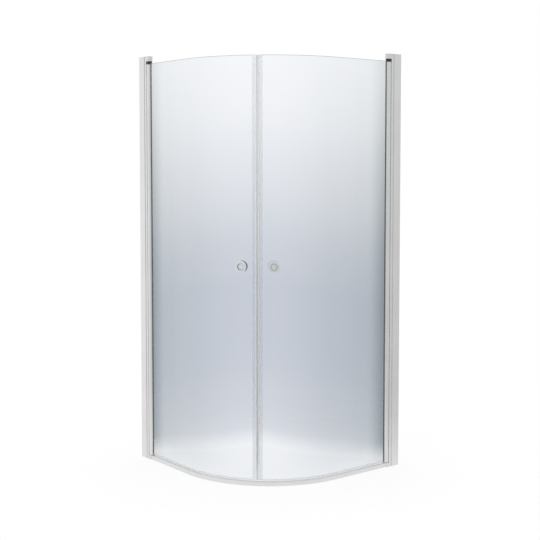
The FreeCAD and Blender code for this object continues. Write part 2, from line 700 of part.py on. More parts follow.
def hinge_barrel():
    """Round bar with a channel for the glass, a bore for the pins and a hollow behind the bore."""
    item = hinge_body("hinge_barrel_right", tube_bottom)
    mouth = across(S["barrel_radius"], channel_half_width)
    section = [(channel_half_width, -mouth), (-channel_half_width, -mouth, 0, 0, LEFT_TURN),
               (-channel_half_width, -channel_floor), (channel_half_width, -channel_floor)]
    inner = S["port_radius"] + S["relief_wall"]
    outer = S["barrel_radius"] - S["relief_wall"]
    side, up = sine(S["relief_half_angle"]), cosine(S["relief_half_angle"])
    hollow = [(outer * side, outer * up), (-outer * side, outer * up, 0, 0, LEFT_TURN),
              (-inner * side, inner * up),
              (inner * side, inner * up, 0, 0, RIGHT_TURN)]
    pad(item, [section, hollow], [(0, 0, S["port_radius"])], length=tube_top - tube_bottom)


def glass_gasket():
    """Dark channel round the edge of the glass in the barrel, with two tapered lips."""
    item = hinge_body("glass_gasket_right", glass_bottom)
    edge = channel_half_width
    shoulder = S["barrel_radius"]
    tip = half_glass + S["gasket_tip"]
    section = [(-edge, -channel_floor), (-edge, -shoulder), (-tip, -gasket_end),
               (-half_glass, -gasket_end), (-half_glass, -glass_edge), (half_glass, -glass_edge),
               (half_glass, -gasket_end), (tip, -gasket_end), (edge, -shoulder), (edge, -channel_floor)]
    pad(item, [section], length=glass_top - glass_bottom)


def turned_point(along, aside):
    """Point given along and beside the diagonal of the enclosure, in the walls' directions."""
    diagonal = cosine(MIDDLE_ANGLE)
    return (along + aside) * diagonal, (aside - along) * diagonal


def curved_glass():
    """Glass door: straight from the barrel, then an arc to the closing strip, with a knob hole."""
    item = arc_body("glass_blank", glass_bottom)
    inner, outer = glass_radius - half_glass, glass_radius + half_glass
    start = hinge_run - glass_edge
    outer_end = turned_point(across(outer, glass_end), glass_end)
    inner_end = turned_point(across(inner, glass_end), glass_end)
    pad(item, [[(inner, start), (inner, 0), (*inner_end, 0, 0, RIGHT_TURN), outer_end,
                (outer, 0, 0, 0, LEFT_TURN), (outer, start)]], length=glass_top - glass_bottom)
    drill_bit = knob_body("knob_hole")
    revolve(drill_bit, [box(-2 * S["glass_thickness"], 2 * S["glass_thickness"], 0, S["knob_hole_radius"])])
    glass = doc.addObject("Part::Cut", "curved_glass_right")
    glass.Base = item
    glass.Tool = drill_bit


def closing_strip():
    """Clear strip on the free edge of the glass, with a chamber that holds the magnet."""
    item = arc_body("closing_strip_right", glass_bottom, turn=-MIDDLE_ANGLE)
    thick, wall, corner = S["magnet_half_thickness"], S["strip_wall"], S["strip_round"]
    chamber_end = glass_end - wall
    near, far = glass_radius - thick, glass_radius + thick
    inner, outer = glass_radius - half_glass, glass_radius + half_glass
    inner_skin, outer_skin = inner - wall, outer + wall
    section = [(far - corner, seam_half),
               (far, seam_half + corner, far - corner, seam_half + corner, LEFT_TURN), (far, chamber_end),
               (across(outer_skin, chamber_end), chamber_end),
               (across(outer_skin, strip_end), strip_end, 0, 0, LEFT_TURN),
               (across(outer, strip_end), strip_end),
               (across(outer, glass_end), glass_end, 0, 0, RIGHT_TURN),
               (across(inner, glass_end), glass_end),
               (across(inner, strip_end), strip_end, 0, 0, LEFT_TURN),
               (across(inner_skin, strip_end), strip_end),
               (across(inner_skin, chamber_end), chamber_end, 0, 0, RIGHT_TURN), (near, chamber_end),
               (near, seam_half + corner),
               (near + corner, seam_half, near + corner, seam_half + corner, LEFT_TURN)]
    chamber = box(near + wall, far - wall, seam_half + wall, chamber_end)
    height = glass_top - glass_bottom
    pad(item, [section, chamber], length=height)
    magnet = arc_body("magnet_right", glass_bottom, turn=-MIDDLE_ANGLE)
    gap = S["magnet_gap"]
    bar = box(near + wall + gap, far - wall - gap, seam_half + wall + gap, chamber_end - gap)
    pad(magnet, [bar], length=height)


def bottom_wiper():
    """Clear strip under the glass, with a lip that hangs down to the sill."""
    item = arc_body("bottom_wiper_right")
    start = hinge_run - gasket_end - S["strip_gap"]
    sweep = MIDDLE_ANGLE - arc_degrees(strip_end + S["strip_gap"], glass_radius)
    end = (glass_radius * cosine(sweep), -glass_radius * sine(sweep))
    route = [(glass_radius, start), (glass_radius, 0), (*end, 0, 0, RIGHT_TURN)]
    path = sketch_on(item, "XY_Plane", path=route)
    inner, outer = glass_radius - half_glass, glass_radius + half_glass
    wall, lip = S["strip_wall"], S["wiper_lip_thickness"]
    under, top = glass_bottom - wall, glass_bottom + S["wiper_height"]
    lip_low = S["sill_height"] + S["sill_running_gap"]
    lip_x = glass_radius - S["wiper_lip"]
    section = [(inner - wall, top), (inner - wall, under), (lip_x + lip, under), (lip_x, lip_low),
               (lip_x + lip, lip_low), (lip_x + 2 * lip, under), (outer + wall, under), (outer + wall, top),
               (outer, top), (outer, glass_bottom), (inner, glass_bottom), (inner, top)]
    pipe(item, sketch_on(item, "XZ_Plane", [section], offset=-start), path)


def curved_sill():
    """Bent channel on the floor from foot to foot, with rounded upper edges."""
    item = arc_body("sill_bar")
    route = [(glass_radius, hinge_run), (glass_radius, 0),
             (0, -glass_radius, 0, 0, RIGHT_TURN), (-hinge_run, -glass_radius)]
    path = sketch_on(item, "XY_Plane", path=route)
    back, front = glass_radius - S["sill_inside"], glass_radius + S["sill_outside"]
    wall, top = S["sill_wall"], S["sill_height"]
    nose, heel = S["sill_front_round"], S["sill_back_round"]
    section = [(front, 0), (front, top - nose), (front - nose, top, front - nose, top - nose, LEFT_TURN),
               (back + heel, top), (back, top - heel, back + heel, top - heel, LEFT_TURN), (back, 0),
               (back + wall, 0), (back + wall, top - wall), (front - wall, top - wall), (front - wall, 0)]
    pipe(item, sketch_on(item, "XZ_Plane", [section], offset=-hinge_run), path)
    for name, x, y in (("sill_end_right", hinge_x, hinge_y), ("sill_end_left", -hinge_y, -hinge_x)):
        cutter = doc.addObject("Part::Cylinder", name)
        bind(cutter, "Radius", nose_radius + S["sill_end_gap"])
        bind(cutter, "Height", 2 * S["sill_height"])
        place(cutter, x, y, -S["sill_height"] / 2)
        trimmed = doc.addObject("Part::Cut", "curved_sill" if name.endswith("left") else "sill_half_trimmed")
        trimmed.Base = item
        trimmed.Tool = cutter
        item = trimmed


def knob_body(label, group=False):
    """A body on the knobs' axis, with X pointing out through the glass."""
    x = arc_x + glass_radius * cosine(knob_angle)
    y = arc_y + glass_radius * sine(knob_angle)
    return body(label, x, y, S["knob_height"], knob_angle, group)


def knob(label, side):
    """Turned knob: a neck that flares in an arc to a round rim, with a finger cup in front."""
    item = knob_body(label)
    base = half_glass + S["washer_thickness"] + S["washer_seat"]
    front = base + S["knob_projection"]
    rim, neck, cup = S["knob_radius"], S["knob_neck_radius"], S["knob_cup_radius"]
    neck_end = base + S["knob_neck_length"]
    rim_x = front - S["knob_rim"]
    rim_r = rim - S["knob_rim"]
    flare_x = rim_x - S["knob_rim_back"]
    flare_r = rim - S["knob_rim_back"]
    flare_run, flare_climb = flare_x - neck_end, flare_r - neck
    flare_centre = flare_x - (flare_run * flare_run + flare_climb * flare_climb) / (2 * flare_run)
    floor = front - S["knob_cup_depth"]
    groove = floor - S["knob_groove_depth"]
    dish = cup - S["knob_groove_width"]
    dish_floor = floor - S["knob_dish_depth"]
    dish_ball = (dish * dish + S["knob_dish_depth"] * S["knob_dish_depth"]) / (2 * S["knob_dish_depth"])
    bottom = base + S["stud_depth"]
    ahead, aback = (LEFT_TURN, RIGHT_TURN) if side > 0 else (RIGHT_TURN, LEFT_TURN)
    outline = [(base, S["stud_radius"]), (base, neck), (neck_end, neck),
               (flare_x, flare_r, flare_centre, flare_r, ahead),
               (rim_x, rim, rim_x, flare_r, aback), (front, rim_r, rim_x, rim_r, aback),
               (front, cup), (groove, cup), (groove, dish), (floor, dish),
               (dish_floor, 0, dish_floor + dish_ball, 0, ahead), (bottom, 0), (bottom, S["stud_radius"])]
    revolve(item, [[(side * step[0], step[1], *(side * value for value in step[2:3]), *step[3:])
                    for step in outline]])


def knob_fixings():
    """Stud that joins the two knobs of a door, and the two washers against the glass."""
    reach = half_glass + S["washer_thickness"] + S["washer_seat"] + S["stud_depth"]
    revolve(knob_body("knob_stud_right"), [box(-reach, reach, 0, S["stud_radius"])])
    seat = half_glass + S["washer_seat"]
    washers = [box(side * seat, side * (seat + S["washer_thickness"]), S["stud_radius"], S["washer_radius"])
               for side in (1, -1)]
    revolve(knob_body("knob_washers_right", group=True), washers)


wall_profile()
hinge_post()
barrel_seal()
screws()
bottom_hinge_block()
top_hinge_block()
profile_cap()
top_bush()
upper_pin()
lower_pin()
ramp_ring()
rising_cam()
barrel_plug()
hinge_barrel()
glass_gasket()
curved_glass()
closing_strip()
bottom_wiper()
knob("outer_knob_right", 1)
knob("inner_knob_right", -1)
knob_fixings()
curved_sill()
doc.recompute()

# The left side: each right-hand piece mirrored across the enclosure's diagonal
right_pieces = [item for item in doc.Objects if item.Label.endswith("_right") and "sill" not in item.Label]
for piece in right_pieces:
    mirrored = doc.addObject("Part::Mirroring", piece.Label.replace("_right", "_left"))
    mirrored.Source = piece
    mirrored.Normal = (1, 1, 0)
doc.recompute()

faulty = [item.Label for item in doc.Objects if {"Invalid", "Error"} & set(item.State)]
if faulty:
    raise RuntimeError(f"features that failed: {faulty}")
left_pieces = [item for item in doc.Objects if item.TypeId == "Part::Mirroring"]
pieces = right_pieces + left_pieces + [doc.getObject("curved_sill")]
for piece in pieces:
    if piece.Shape.isNull() or not piece.Shape.isValid():
        raise RuntimeError(f"bad shape: {piece.Label}")

os.makedirs("parts", exist_ok=True)
for piece in pieces:
    piece.Shape.exportStep(f"parts/{piece.Label}.step")
    print(f"{piece.Label}: {len(piece.Shape.Solids)} solid, {piece.Shape.Volume / 1000:.1f} cm3")
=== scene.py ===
# %% [markdown]
# # A corner shower enclosure with a round front
#
# Two curved glass doors hang on slim aluminium profiles and meet in the middle on clear strips.
# The frame that is loaded here already holds every rigid piece at its real size, so nothing is
# measured again. This lesson dresses that frame: it makes the panes, strips, wipers and sill as
# smooth surfaces, gives each finish its own material, and lights the whole as a product
# photograph. The frame alone has the same shapes, but glass, clear plastic and metal live by
# their edges and finishes, and those are what the lesson adds.

# %% Load the frame
import json

import bpy
import numpy as np
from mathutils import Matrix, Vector


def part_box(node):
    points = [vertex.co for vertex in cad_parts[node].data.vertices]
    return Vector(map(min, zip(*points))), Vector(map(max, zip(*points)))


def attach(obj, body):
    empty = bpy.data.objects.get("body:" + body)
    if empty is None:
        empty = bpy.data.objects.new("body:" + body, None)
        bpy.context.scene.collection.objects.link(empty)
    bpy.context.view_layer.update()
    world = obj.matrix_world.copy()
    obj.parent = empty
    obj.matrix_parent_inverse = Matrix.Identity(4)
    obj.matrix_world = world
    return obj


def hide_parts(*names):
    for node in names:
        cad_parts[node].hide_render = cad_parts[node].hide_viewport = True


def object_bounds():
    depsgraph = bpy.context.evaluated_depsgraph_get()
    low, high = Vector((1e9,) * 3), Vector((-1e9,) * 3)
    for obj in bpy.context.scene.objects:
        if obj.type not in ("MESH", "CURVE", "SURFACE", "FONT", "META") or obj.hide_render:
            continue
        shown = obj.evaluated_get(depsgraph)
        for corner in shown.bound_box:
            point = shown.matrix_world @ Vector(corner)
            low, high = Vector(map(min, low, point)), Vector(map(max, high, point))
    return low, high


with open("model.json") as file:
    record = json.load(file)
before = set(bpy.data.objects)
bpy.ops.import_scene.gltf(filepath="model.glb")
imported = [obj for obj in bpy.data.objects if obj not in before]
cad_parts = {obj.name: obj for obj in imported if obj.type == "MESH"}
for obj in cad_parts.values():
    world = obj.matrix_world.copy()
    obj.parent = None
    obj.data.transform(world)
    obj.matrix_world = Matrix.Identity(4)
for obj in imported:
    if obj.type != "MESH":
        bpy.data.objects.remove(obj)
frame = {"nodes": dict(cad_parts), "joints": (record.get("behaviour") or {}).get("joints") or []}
nodes = frame["nodes"]
cad_low, cad_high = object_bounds()
print("frame:", len(nodes), "nodes, box", [round(v, 3) for v in (*cad_low, *cad_high)])

# %% [markdown]
# ## One path for everything that is bent
#
# Seen from above, the glass leaves the hinge in a straight line, follows a quarter circle and
# ends in a second straight line at the other hinge. The panes, the wipers and the sill all follow
# it. A curve object with a bevel could carry each of them, but every piece would then hold its
# own copy of the path. As one function of the distance along it, the path stays exact and
# serves them all. Its sizes come from the frame: the glass node's box gives the faces of the
# glass, and the swing joint gives the hinge axis. The left side mirrors the right across the
# diagonal of the plan, which swaps x and y and turns both signs.

# %% The line that the front follows
GLASS = 0.006
ARC_CENTRE_FROM_BACK = 0.400

glass_low, glass_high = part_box("curved_glass_right")
hinge = next(j["pos_m"] for j in frame["joints"] if j["name"] == "right_door_swing")
arc_x = cad_low.x + ARC_CENTRE_FROM_BACK
arc_y = cad_high.y - ARC_CENTRE_FROM_BACK
radius = glass_high.x - GLASS / 2 - arc_x
straight = hinge[1] - arc_y
whole_front = 2 * straight + radius * np.pi / 2
seam_at = whole_front / 2


def front(along, outward=0.0):
    """Points on the front, seen from above: down a straight line from the right hinge, round a
    quarter circle and along a second straight line. Outward moves them off it, square to it."""
    along, outward = np.broadcast_arrays(np.asarray(along, float), np.asarray(outward, float))
    turn = np.clip((along - straight) / radius, 0, np.pi / 2)
    before = np.clip(straight - along, 0, None)
    after = np.clip(along - straight - radius * np.pi / 2, 0, None)
    reach = radius + outward
    x = arc_x + reach * np.cos(turn) - after
    y = arc_y - reach * np.sin(turn) + before
    return x, y


def mirrored(points):
    """The same points across the diagonal of the plan: x and y change places and signs."""
    return np.stack([-points[..., 1], -points[..., 0], points[..., 2]], axis=-1)


print(f"front: radius {radius:.3f} m, straight {straight:.3f} m, {whole_front:.3f} m in all")

# %% [markdown]
# ## From arrays to meshes
#
# A surface here is an array of points in rows and columns. Neighbouring points make a quad, and a
# row that closes on itself wraps round. The same could be drawn by hand with extrude and bend,
# but whole arrays are quick, keep the formula of each shape in view and can be changed by one
# number. Every piece also carries a map of where each point lies on it, so that a finish can
# follow the piece, and edges that turn sharply are marked so that they stay crisp.

# %% Helpers that make a mesh of an array
SIDES = ("right", "left")
SHARP_ANGLE = np.radians(35)


def quads(rows, columns, wrap=False, first=0):
    """Corner numbers of a grid's quads, row by row. Wrap joins the last column to the first."""
    number = first + np.arange(rows * columns).reshape(rows, columns)
    right = np.roll(number, -1, axis=1)
    cells = np.stack([number[:-1], right[:-1], right[1:], number[1:]], axis=-1)
    return (cells if wrap else cells[:, :-1]).reshape(-1, 4)


def make_mesh(name, points, faces, place, flip=False):
    """A smooth mesh of points and quads, with place, two numbers a point, as its map."""
    faces = faces[:, ::-1] if flip else faces
    mesh = bpy.data.meshes.new(name)
    mesh.from_pydata(points.tolist(), [], faces.tolist())
    corner = np.empty(len(mesh.loops), np.int32)
    mesh.loops.foreach_get("vertex_index", corner)
    layer = mesh.uv_layers.new(name="surface")
    layer.data.foreach_set("uv", place[corner].astype(np.float32).ravel())
    mesh.polygons.foreach_set("use_smooth", np.ones(len(mesh.polygons), bool))
    mesh.set_sharp_from_angle(angle=SHARP_ANGLE)
    piece = bpy.data.objects.new(name, mesh)
    bpy.context.scene.collection.objects.link(piece)
    return piece


def settle(piece, material, body, slot, *replaced):
    """Give a piece its finish and its body, and let it stand for the frame's own nodes."""
    piece.data.materials.append(material)
    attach(piece, body)
    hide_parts(*replaced)


print(f"edges that turn by more than {np.degrees(SHARP_ANGLE):.0f} degrees stay crisp")

# %% [markdown]
# ## Nodes for the finishes
#
# Each finish is a Principled shader with patterns behind its colour, its roughness and its bump.
# Such a tree can be wired by hand in the shader editor. In a script, a few short helpers do the
# same and let the finish be read from top to bottom: one gives a socket a value or a link, one
# adds a node, one adds a step of arithmetic, and one starts a new material. They take a material
# or the world, because both hold a node tree.

# %% Helpers that place and link nodes


def feed(owner, value, socket):
    """Give a socket a plain value, or link it to another node's output."""
    if isinstance(value, bpy.types.NodeSocket):
        owner.node_tree.links.new(value, socket)
    else:
        socket.default_value = value


def node(owner, kind, **values):
    """Add a node to a material or the world; each named input gets a value or a link."""
    added = owner.node_tree.nodes.new(f"ShaderNode{kind}")
    for name, value in values.items():
        feed(owner, value, added.inputs[name.replace("_", " ")])
    return added


def worked(owner, kind, operation, *values):
    """A Math or VectorMath node that takes the values in order; its result comes back."""
    added = node(owner, kind)
    added.operation = operation
    for value, socket in zip(values, added.inputs):
        feed(owner, value, socket)
    single = kind == "Math" or operation in ("LENGTH", "DOT_PRODUCT")
    return added.outputs["Value" if single else "Vector"]


def finish(name, **values):
    """A material with a Principled shader whose plain sockets are set by name."""
    material = bpy.data.materials.new(name)
    material.use_nodes = True
    shader = material.node_tree.nodes["Principled BSDF"]
    for socket, value in values.items():
        shader.inputs[socket.replace("_", " ")].default_value = value
    return material, shader


print("node helpers: feed, node, worked, finish")

# %% [markdown]
# ## Patterns that most finishes share
#
# Drawn metal has fine lines along its length, paint has a speckle, and plastic has a haze. All of
# these are one noise, stretched by a Mapping node and then used twice: as a mix of two close
# colours and as a small change of roughness. An image could hold such a pattern too, but a noise
# has no seams and stays sharp at any distance.

# %% Helpers for patterns
MIX_FACTOR = 0
MIX_FIRST = 6
MIX_SECOND = 7
MIX_RESULT = 2


def blend(owner, factor, first, second):
    """Mix two colours by a factor; a Mix node has one set of sockets for each kind of data."""
    mix = node(owner, "Mix")
    mix.data_type = "RGBA"
    feed(owner, factor, mix.inputs[MIX_FACTOR])
    feed(owner, first, mix.inputs[MIX_FIRST])
    feed(owner, second, mix.inputs[MIX_SECOND])
    return mix.outputs[MIX_RESULT]


def between(owner, value, low, high):
    """Stretch a number that runs from 0 to 1 to the range from low to high."""
    return node(owner, "MapRange", Value=value, To_Min=low, To_Max=high).outputs[0]


def eased(owner, value, start, end, low=0.0, high=1.0):
    """A number that passes smoothly from low to high while the value goes from start to end."""
    step = node(owner, "MapRange", Value=value, From_Min=start, From_Max=end)
    step.interpolation_type = "SMOOTHSTEP"
    feed(owner, low, step.inputs["To Min"])
    feed(owner, high, step.inputs["To Max"])
    return step.outputs[0]


def grain(owner, source, stretch, scale, detail=3.0):
    """Noise on a coordinate that is first stretched by a factor along each axis."""
    where = node(owner, "Mapping", Vector=source, Scale=stretch).outputs[0]
    return node(owner, "TexNoise", Vector=where, Scale=scale, Detail=detail).outputs["Fac"]


def bump(material, shader, height, depth, strength):
    """Let a pattern raise the surface by a depth in metres."""
    relief = node(material, "Bump", Height=height, Distance=depth, Strength=strength)
    feed(material, relief.outputs["Normal"], shader.inputs["Normal"])


print("pattern helpers: blend, between, eased, grain, bump")

# %% [markdown]
# ## Aluminium, drawn and anodised
#
# The profiles, posts, barrels and sill are extrusions. Anodising leaves them satin, and the die
# leaves hair lines along their length. An anisotropic shader could suggest the lines, but the
# sill is bent, so a noise that is stretched along the piece is the surer way. The upright pieces
# stretch it along z, and the sill stretches it along its own map, so its lines follow the bend.

# %% Satin aluminium
PALE_METAL = (0.80, 0.80, 0.805, 1)
SHADED_METAL = (0.72, 0.72, 0.725, 1)
HAIR_SCALE = 900.0
HAIR_ROUGHNESS = (0.34, 0.46)
HAIR_DEPTH = 0.00002
HAIR_STRENGTH = 0.4
CLOUD_SCALE = 9.0
EVEN = (1, 1, 1)
DRAWN_UP = (1, 1, 0.01)
DRAWN_ALONG = (0.01, 1, 1)


def drawn_aluminium(name, source_node, output, stretch):
    """Satin metal with hair lines; stretch is small along the draw and large across it."""
    material, shader = finish(name, Metallic=1.0)
    source = node(material, source_node).outputs[output]
    hairs = grain(material, source, stretch, HAIR_SCALE)
    cloud = grain(material, source, EVEN, CLOUD_SCALE)
    feed(material, blend(material, cloud, SHADED_METAL, PALE_METAL), shader.inputs["Base Color"])
    feed(material, between(material, hairs, *HAIR_ROUGHNESS), shader.inputs["Roughness"])
    bump(material, shader, hairs, HAIR_DEPTH, HAIR_STRENGTH)
    return material


upright_metal = drawn_aluminium("drawn_aluminium", "TexCoord", "Object", DRAWN_UP)
sill_metal = drawn_aluminium("bent_aluminium", "UVMap", "UV", DRAWN_ALONG)
print("aluminium:", upright_metal.name, "and", sill_metal.name)

# %% [markdown]
# ## Sprayed, turned and rubber finishes
#
# The hinge blocks and caps are cast and sprayed to match the profiles, with the fine speckle of
# paint. Pins and screws are plain steel, the bearings are white acetal, and the gaskets are dark
# rubber. The collar at the top of each barrel is acetal, painted near black as painted shade of
# the slot under the top block. Each could have a tree of its own.
# They differ only in colours, scale and shine, so one function with a speckle makes them all.

# %% Small finishes
SPECK_DEPTH = 0.00001
SPECK_STRENGTH = 0.5


def speckled(name, colour, other, rough, scale, metallic=0.0):
    """Two close colours in a fine speckle, with a matching roughness and bump."""
    material, shader = finish(name, Metallic=metallic)
    where = node(material, "TexCoord").outputs["Object"]
    speck = grain(material, where, EVEN, scale)
    feed(material, blend(material, speck, colour, other), shader.inputs["Base Color"])
    feed(material, between(material, speck, *rough), shader.inputs["Roughness"])
    bump(material, shader, speck, SPECK_DEPTH, SPECK_STRENGTH)
    return material


sprayed = speckled("sprayed_block", (0.66, 0.66, 0.665, 1), (0.74, 0.74, 0.745, 1),
                   rough=(0.30, 0.42), scale=2500, metallic=0.85)
steel = speckled("bright_steel", (0.55, 0.55, 0.55, 1), (0.66, 0.66, 0.66, 1),
                 rough=(0.22, 0.36), scale=900, metallic=1.0)
# Painted shade: the collar is near black to stand for the shade in the slot between barrel and top
# block.
collar = speckled("black_acetal_painted_shade", (0.018, 0.018, 0.019, 1), (0.030, 0.030, 0.031, 1),
                  rough=(0.40, 0.55), scale=700)
acetal = speckled("white_acetal", (0.78, 0.78, 0.77, 1), (0.84, 0.84, 0.83, 1),
                  rough=(0.40, 0.52), scale=700)
gasket = speckled("dark_gasket", (0.16, 0.165, 0.165, 1), (0.21, 0.215, 0.215, 1),
                  rough=(0.55, 0.75), scale=1200)
seal = speckled("grey_seal", (0.22, 0.22, 0.225, 1), (0.29, 0.29, 0.295, 1),
                rough=(0.55, 0.75), scale=1200)
print("small finishes:", [m.name for m in (sprayed, steel, collar, acetal, gasket, seal)])

# %% [markdown]
# ## Painted shade in the glass
#
# Clear glass has no colour of its own from the front but a cool tint. Over that tint the pane's
# colour paints the shade of surroundings seen through it: palest at the top and at the foot,
# deepest a little below the middle, deeper towards the hinges and a little higher at the seam
# than at the hinge. Volume absorption would give one even tint. Two ramps over the pane's own
# map paint this shade instead: one colour by height, times one by distance from the hinge. A few
# stops in each are enough, because the painted shade is smooth.

# %% Ramps for the painted shade
PALE_VEIL = (0.93, 0.945, 0.972, 1)
# Painted shade: the deepest colour, the colour towards the hinges and the ramps below stand for
# shade seen through the glass; the palest colour is the cool tint where no shade is painted.
DEEPEST_PAINTED_SHADE = (0.565, 0.60, 0.672, 1)
NO_VEIL = (1, 1, 1, 1)
HINGE_PAINTED_SHADE = (0.41, 0.455, 0.45, 1)
VEIL_SLANT = -0.08
PAINTED_SHADE_BY_HEIGHT = ((0.012, 0.15), (0.05, 0.66), (0.17, 0.92), (0.30, 1.0),
               (0.42, 0.95), (0.58, 0.62), (0.76, 0.22), (0.94, 0.02))
PAINTED_SHADE_BY_HINGE = ((0.0, 1.0), (0.05, 0.84), (0.14, 0.45), (0.30, 0.33), (0.60, 0.18), (0.90, 0.0))
HINGE_SHADE_SHARE_BY_HEIGHT = ((0.0, 0.40), (0.05, 1.0), (0.50, 1.0), (0.80, 0.74), (1.0, 0.45))


def ramp(owner, value, stops):
    """Smooth ramp of greys through stops of (place, brightness)."""
    added = node(owner, "ValToRGB", Fac=value)
    added.color_ramp.interpolation = "CARDINAL"
    points = added.color_ramp.elements
    while len(points) < len(stops):
        points.new(0.5)  # it gets its own place below
    for point, (place, grey) in zip(points, stops):
        point.position = place
        point.color = (grey, grey, grey, 1)
    return added.outputs["Color"]


print("veil:", len(PAINTED_SHADE_BY_HEIGHT), "stops by height,", len(PAINTED_SHADE_BY_HINGE), "from the hinge")

# %% [markdown]
# ## Toughened glass and its ground rim
#
# The panes are 6 mm toughened glass. A Principled shader with full transmission bends and mirrors
# light as glass does. A lamp would throw a hard shadow through it, so rays from lamps meet a plain
# tint instead; the helpers that tell rays apart serve the floor and the sky as well. The rim is
# ground: seen from the edge it is the deep green of thick glass along the top. Where a clear strip
# or the wiper would let light into it, the rim is painted pale: painted light. It could be glass
# too, but a ground rim scatters, so a plain rough surface is closer.

# %% Tell rays apart
LAMP_TINT = (0.86, 0.88, 0.89, 1)


def rays(owner, *kinds):
    """1 for rays of the kinds named, such as those from the camera, and 0 for all others."""
    path = node(owner, "LightPath")
    share = path.outputs[kinds[0]]
    for kind in kinds[1:]:
        share = worked(owner, "Math", "MAXIMUM", share, path.outputs[kind])
    return share


def mixed(owner, share, first, second):
    """Two shaders mixed by a share."""
    mix = node(owner, "MixShader", Fac=share)
    feed(owner, first.outputs[0], mix.inputs[1])
    feed(owner, second.outputs[0], mix.inputs[2])
    return mix


def show(owner, shader):
    """Let a shader reach the surface of a material, or the sky of the world."""
    output = next(n for n in owner.node_tree.nodes if n.type.startswith("OUTPUT_"))
    feed(owner, shader.outputs[0], output.inputs["Surface"])


def let_lamps_through(material, shader, tint):
    """Rays from lamps meet a plain see-through tint instead of the shader."""
    clear = node(material, "BsdfTransparent", Color=tint)
    show(material, mixed(material, rays(material, "Is Shadow Ray"), shader, clear))


print("lamps pass the glass with a tint of", LAMP_TINT[:3])

# %% Pane glass


def map_of(material):
    """Share along the pane from the hinge, and share up it, as two outputs."""
    place = node(material, "SeparateXYZ", Vector=node(material, "UVMap").outputs["UV"])
    return place.outputs["X"], place.outputs["Y"]


def pane_glass():
    """Clear glass with painted shade: the colour by height, slanted a little, times the colour by
    the hinge.
    """
    material, shader = finish("glass_with_painted_shade", Roughness=0.0, IOR=1.5, Transmission_Weight=1.0)
    along, up = map_of(material)
    level = worked(material, "Math", "MULTIPLY_ADD", along, VEIL_SLANT, up)
    # Painted shade by height, times painted shade towards the hinges.
    height = blend(material, ramp(material, level, PAINTED_SHADE_BY_HEIGHT), PALE_VEIL, DEEPEST_PAINTED_SHADE)
    share = worked(material, "VectorMath", "MULTIPLY",
                   ramp(material, along, PAINTED_SHADE_BY_HINGE), ramp(material, up, HINGE_SHADE_SHARE_BY_HEIGHT))
    beside = blend(material, share, NO_VEIL, HINGE_PAINTED_SHADE)
    painted_shade = worked(material, "VectorMath", "MULTIPLY", height, beside)
    feed(material, painted_shade, shader.inputs["Base Color"])
    let_lamps_through(material, shader, LAMP_TINT)
    return material


clear_glass = pane_glass()
print("glass:", clear_glass.name)

# %% Ground rim
DEEP_EDGE = (0.12, 0.185, 0.18, 1)
# Painted light: the pale colour stands for light that the strip and the wiper let into the rim.
PAINTED_LIGHT_EDGE = (0.90, 0.92, 0.92, 1)
RIM_IN_STRIP = (0.975, 0.985)
RIM_IN_WIPER = (0.010, 0.005)


def ground_rim():
    """Ground rim: deep green along the top, painted light in the strip at the seam and in the
    wiper below.
    """
    material, shader = finish("ground_rim", Roughness=0.3)
    along, up = map_of(material)
    in_strip = eased(material, along, *RIM_IN_STRIP)
    in_wiper = eased(material, up, *RIM_IN_WIPER)
    painted_light_share = worked(material, "Math", "MAXIMUM", in_strip, in_wiper)
    feed(material, blend(material, painted_light_share, DEEP_EDGE, PAINTED_LIGHT_EDGE), shader.inputs["Base Color"])
    return material


glass_edge = ground_rim()
print("rim:", glass_edge.name)

# %% [markdown]
# ## Clear plastic
#
# The strips on the glass are soft clear plastic, which is never as clear as the glass: each face
# hides a small share of what is behind it. Thin walls of real glass shader would bend the light
# four times over and turn dark, so these use Alpha: a face covers its share and lets the rest
# pass straight.

# %% Clear strips
PLASTIC_IOR = 1.46
HAZE_SCALE = 160.0
HAZE_STRETCH = (1, 1, 0.05)
STRIP_COVER = 0.12
WIPER_COVER = 0.08


def clear_plastic(name, colour, other, cover):
    """Clear plastic: each face covers a share of what is behind it, with a haze drawn along z."""
    material, shader = finish(name, IOR=PLASTIC_IOR, Roughness=0.22, Alpha=cover)
    where = node(material, "TexCoord").outputs["Object"]
    haze = grain(material, where, HAZE_STRETCH, HAZE_SCALE)
    feed(material, blend(material, haze, colour, other), shader.inputs["Base Color"])
    return material


clear_strip = clear_plastic(
    "strip_plastic", (0.60, 0.62, 0.63, 1), (0.68, 0.70, 0.71, 1), STRIP_COVER)
clear_wiper = clear_plastic(
    "wiper_plastic", (0.66, 0.68, 0.69, 1), (0.72, 0.74, 0.75, 1), WIPER_COVER)
print("clear plastic:", clear_strip.name, "and", clear_wiper.name)

# %% [markdown]
# ## The magnet strips
#
# A magnet strip is a grey core of bonded ferrite in a pale sleeve, and the core lies at the side
# that meets the other door. It could be two solids. In the frame it is one, so the finish draws
# the line: the seam is the plane where x + y is zero, and the distance from it tells core from
# sleeve on both doors at once. Both are painted with a share of the glass's painted shade by
# height, so that the seam stays a quiet line beside the glass from top to bottom. So are the walls
# of the clear strip that are seen edge on: they look thicker than the rest, painted pale at the
# chamber's corners as a painted highlight, and grey where the two doors meet.

# %% Magnet strips
CORE_EDGE = 0.0040
CORE_SOFT = 0.0003
MAGNET_SCALE = 600.0
PALE_CORE = (0.925, 0.95, 0.97, 1)
# Painted shade: the deeper core and sleeve colours darken both by height with the glass's painted
# shade.
CORE_IN_PAINTED_SHADE = (0.34, 0.375, 0.405, 1)
PALE_SLEEVE = (0.93, 0.935, 0.94, 1)
SLEEVE_IN_PAINTED_SHADE = (0.80, 0.81, 0.82, 1)
CORE_TONE = (0.92, 1.0)
ACROSS_SEAM = (0.5**0.5, 0.5**0.5, 0)


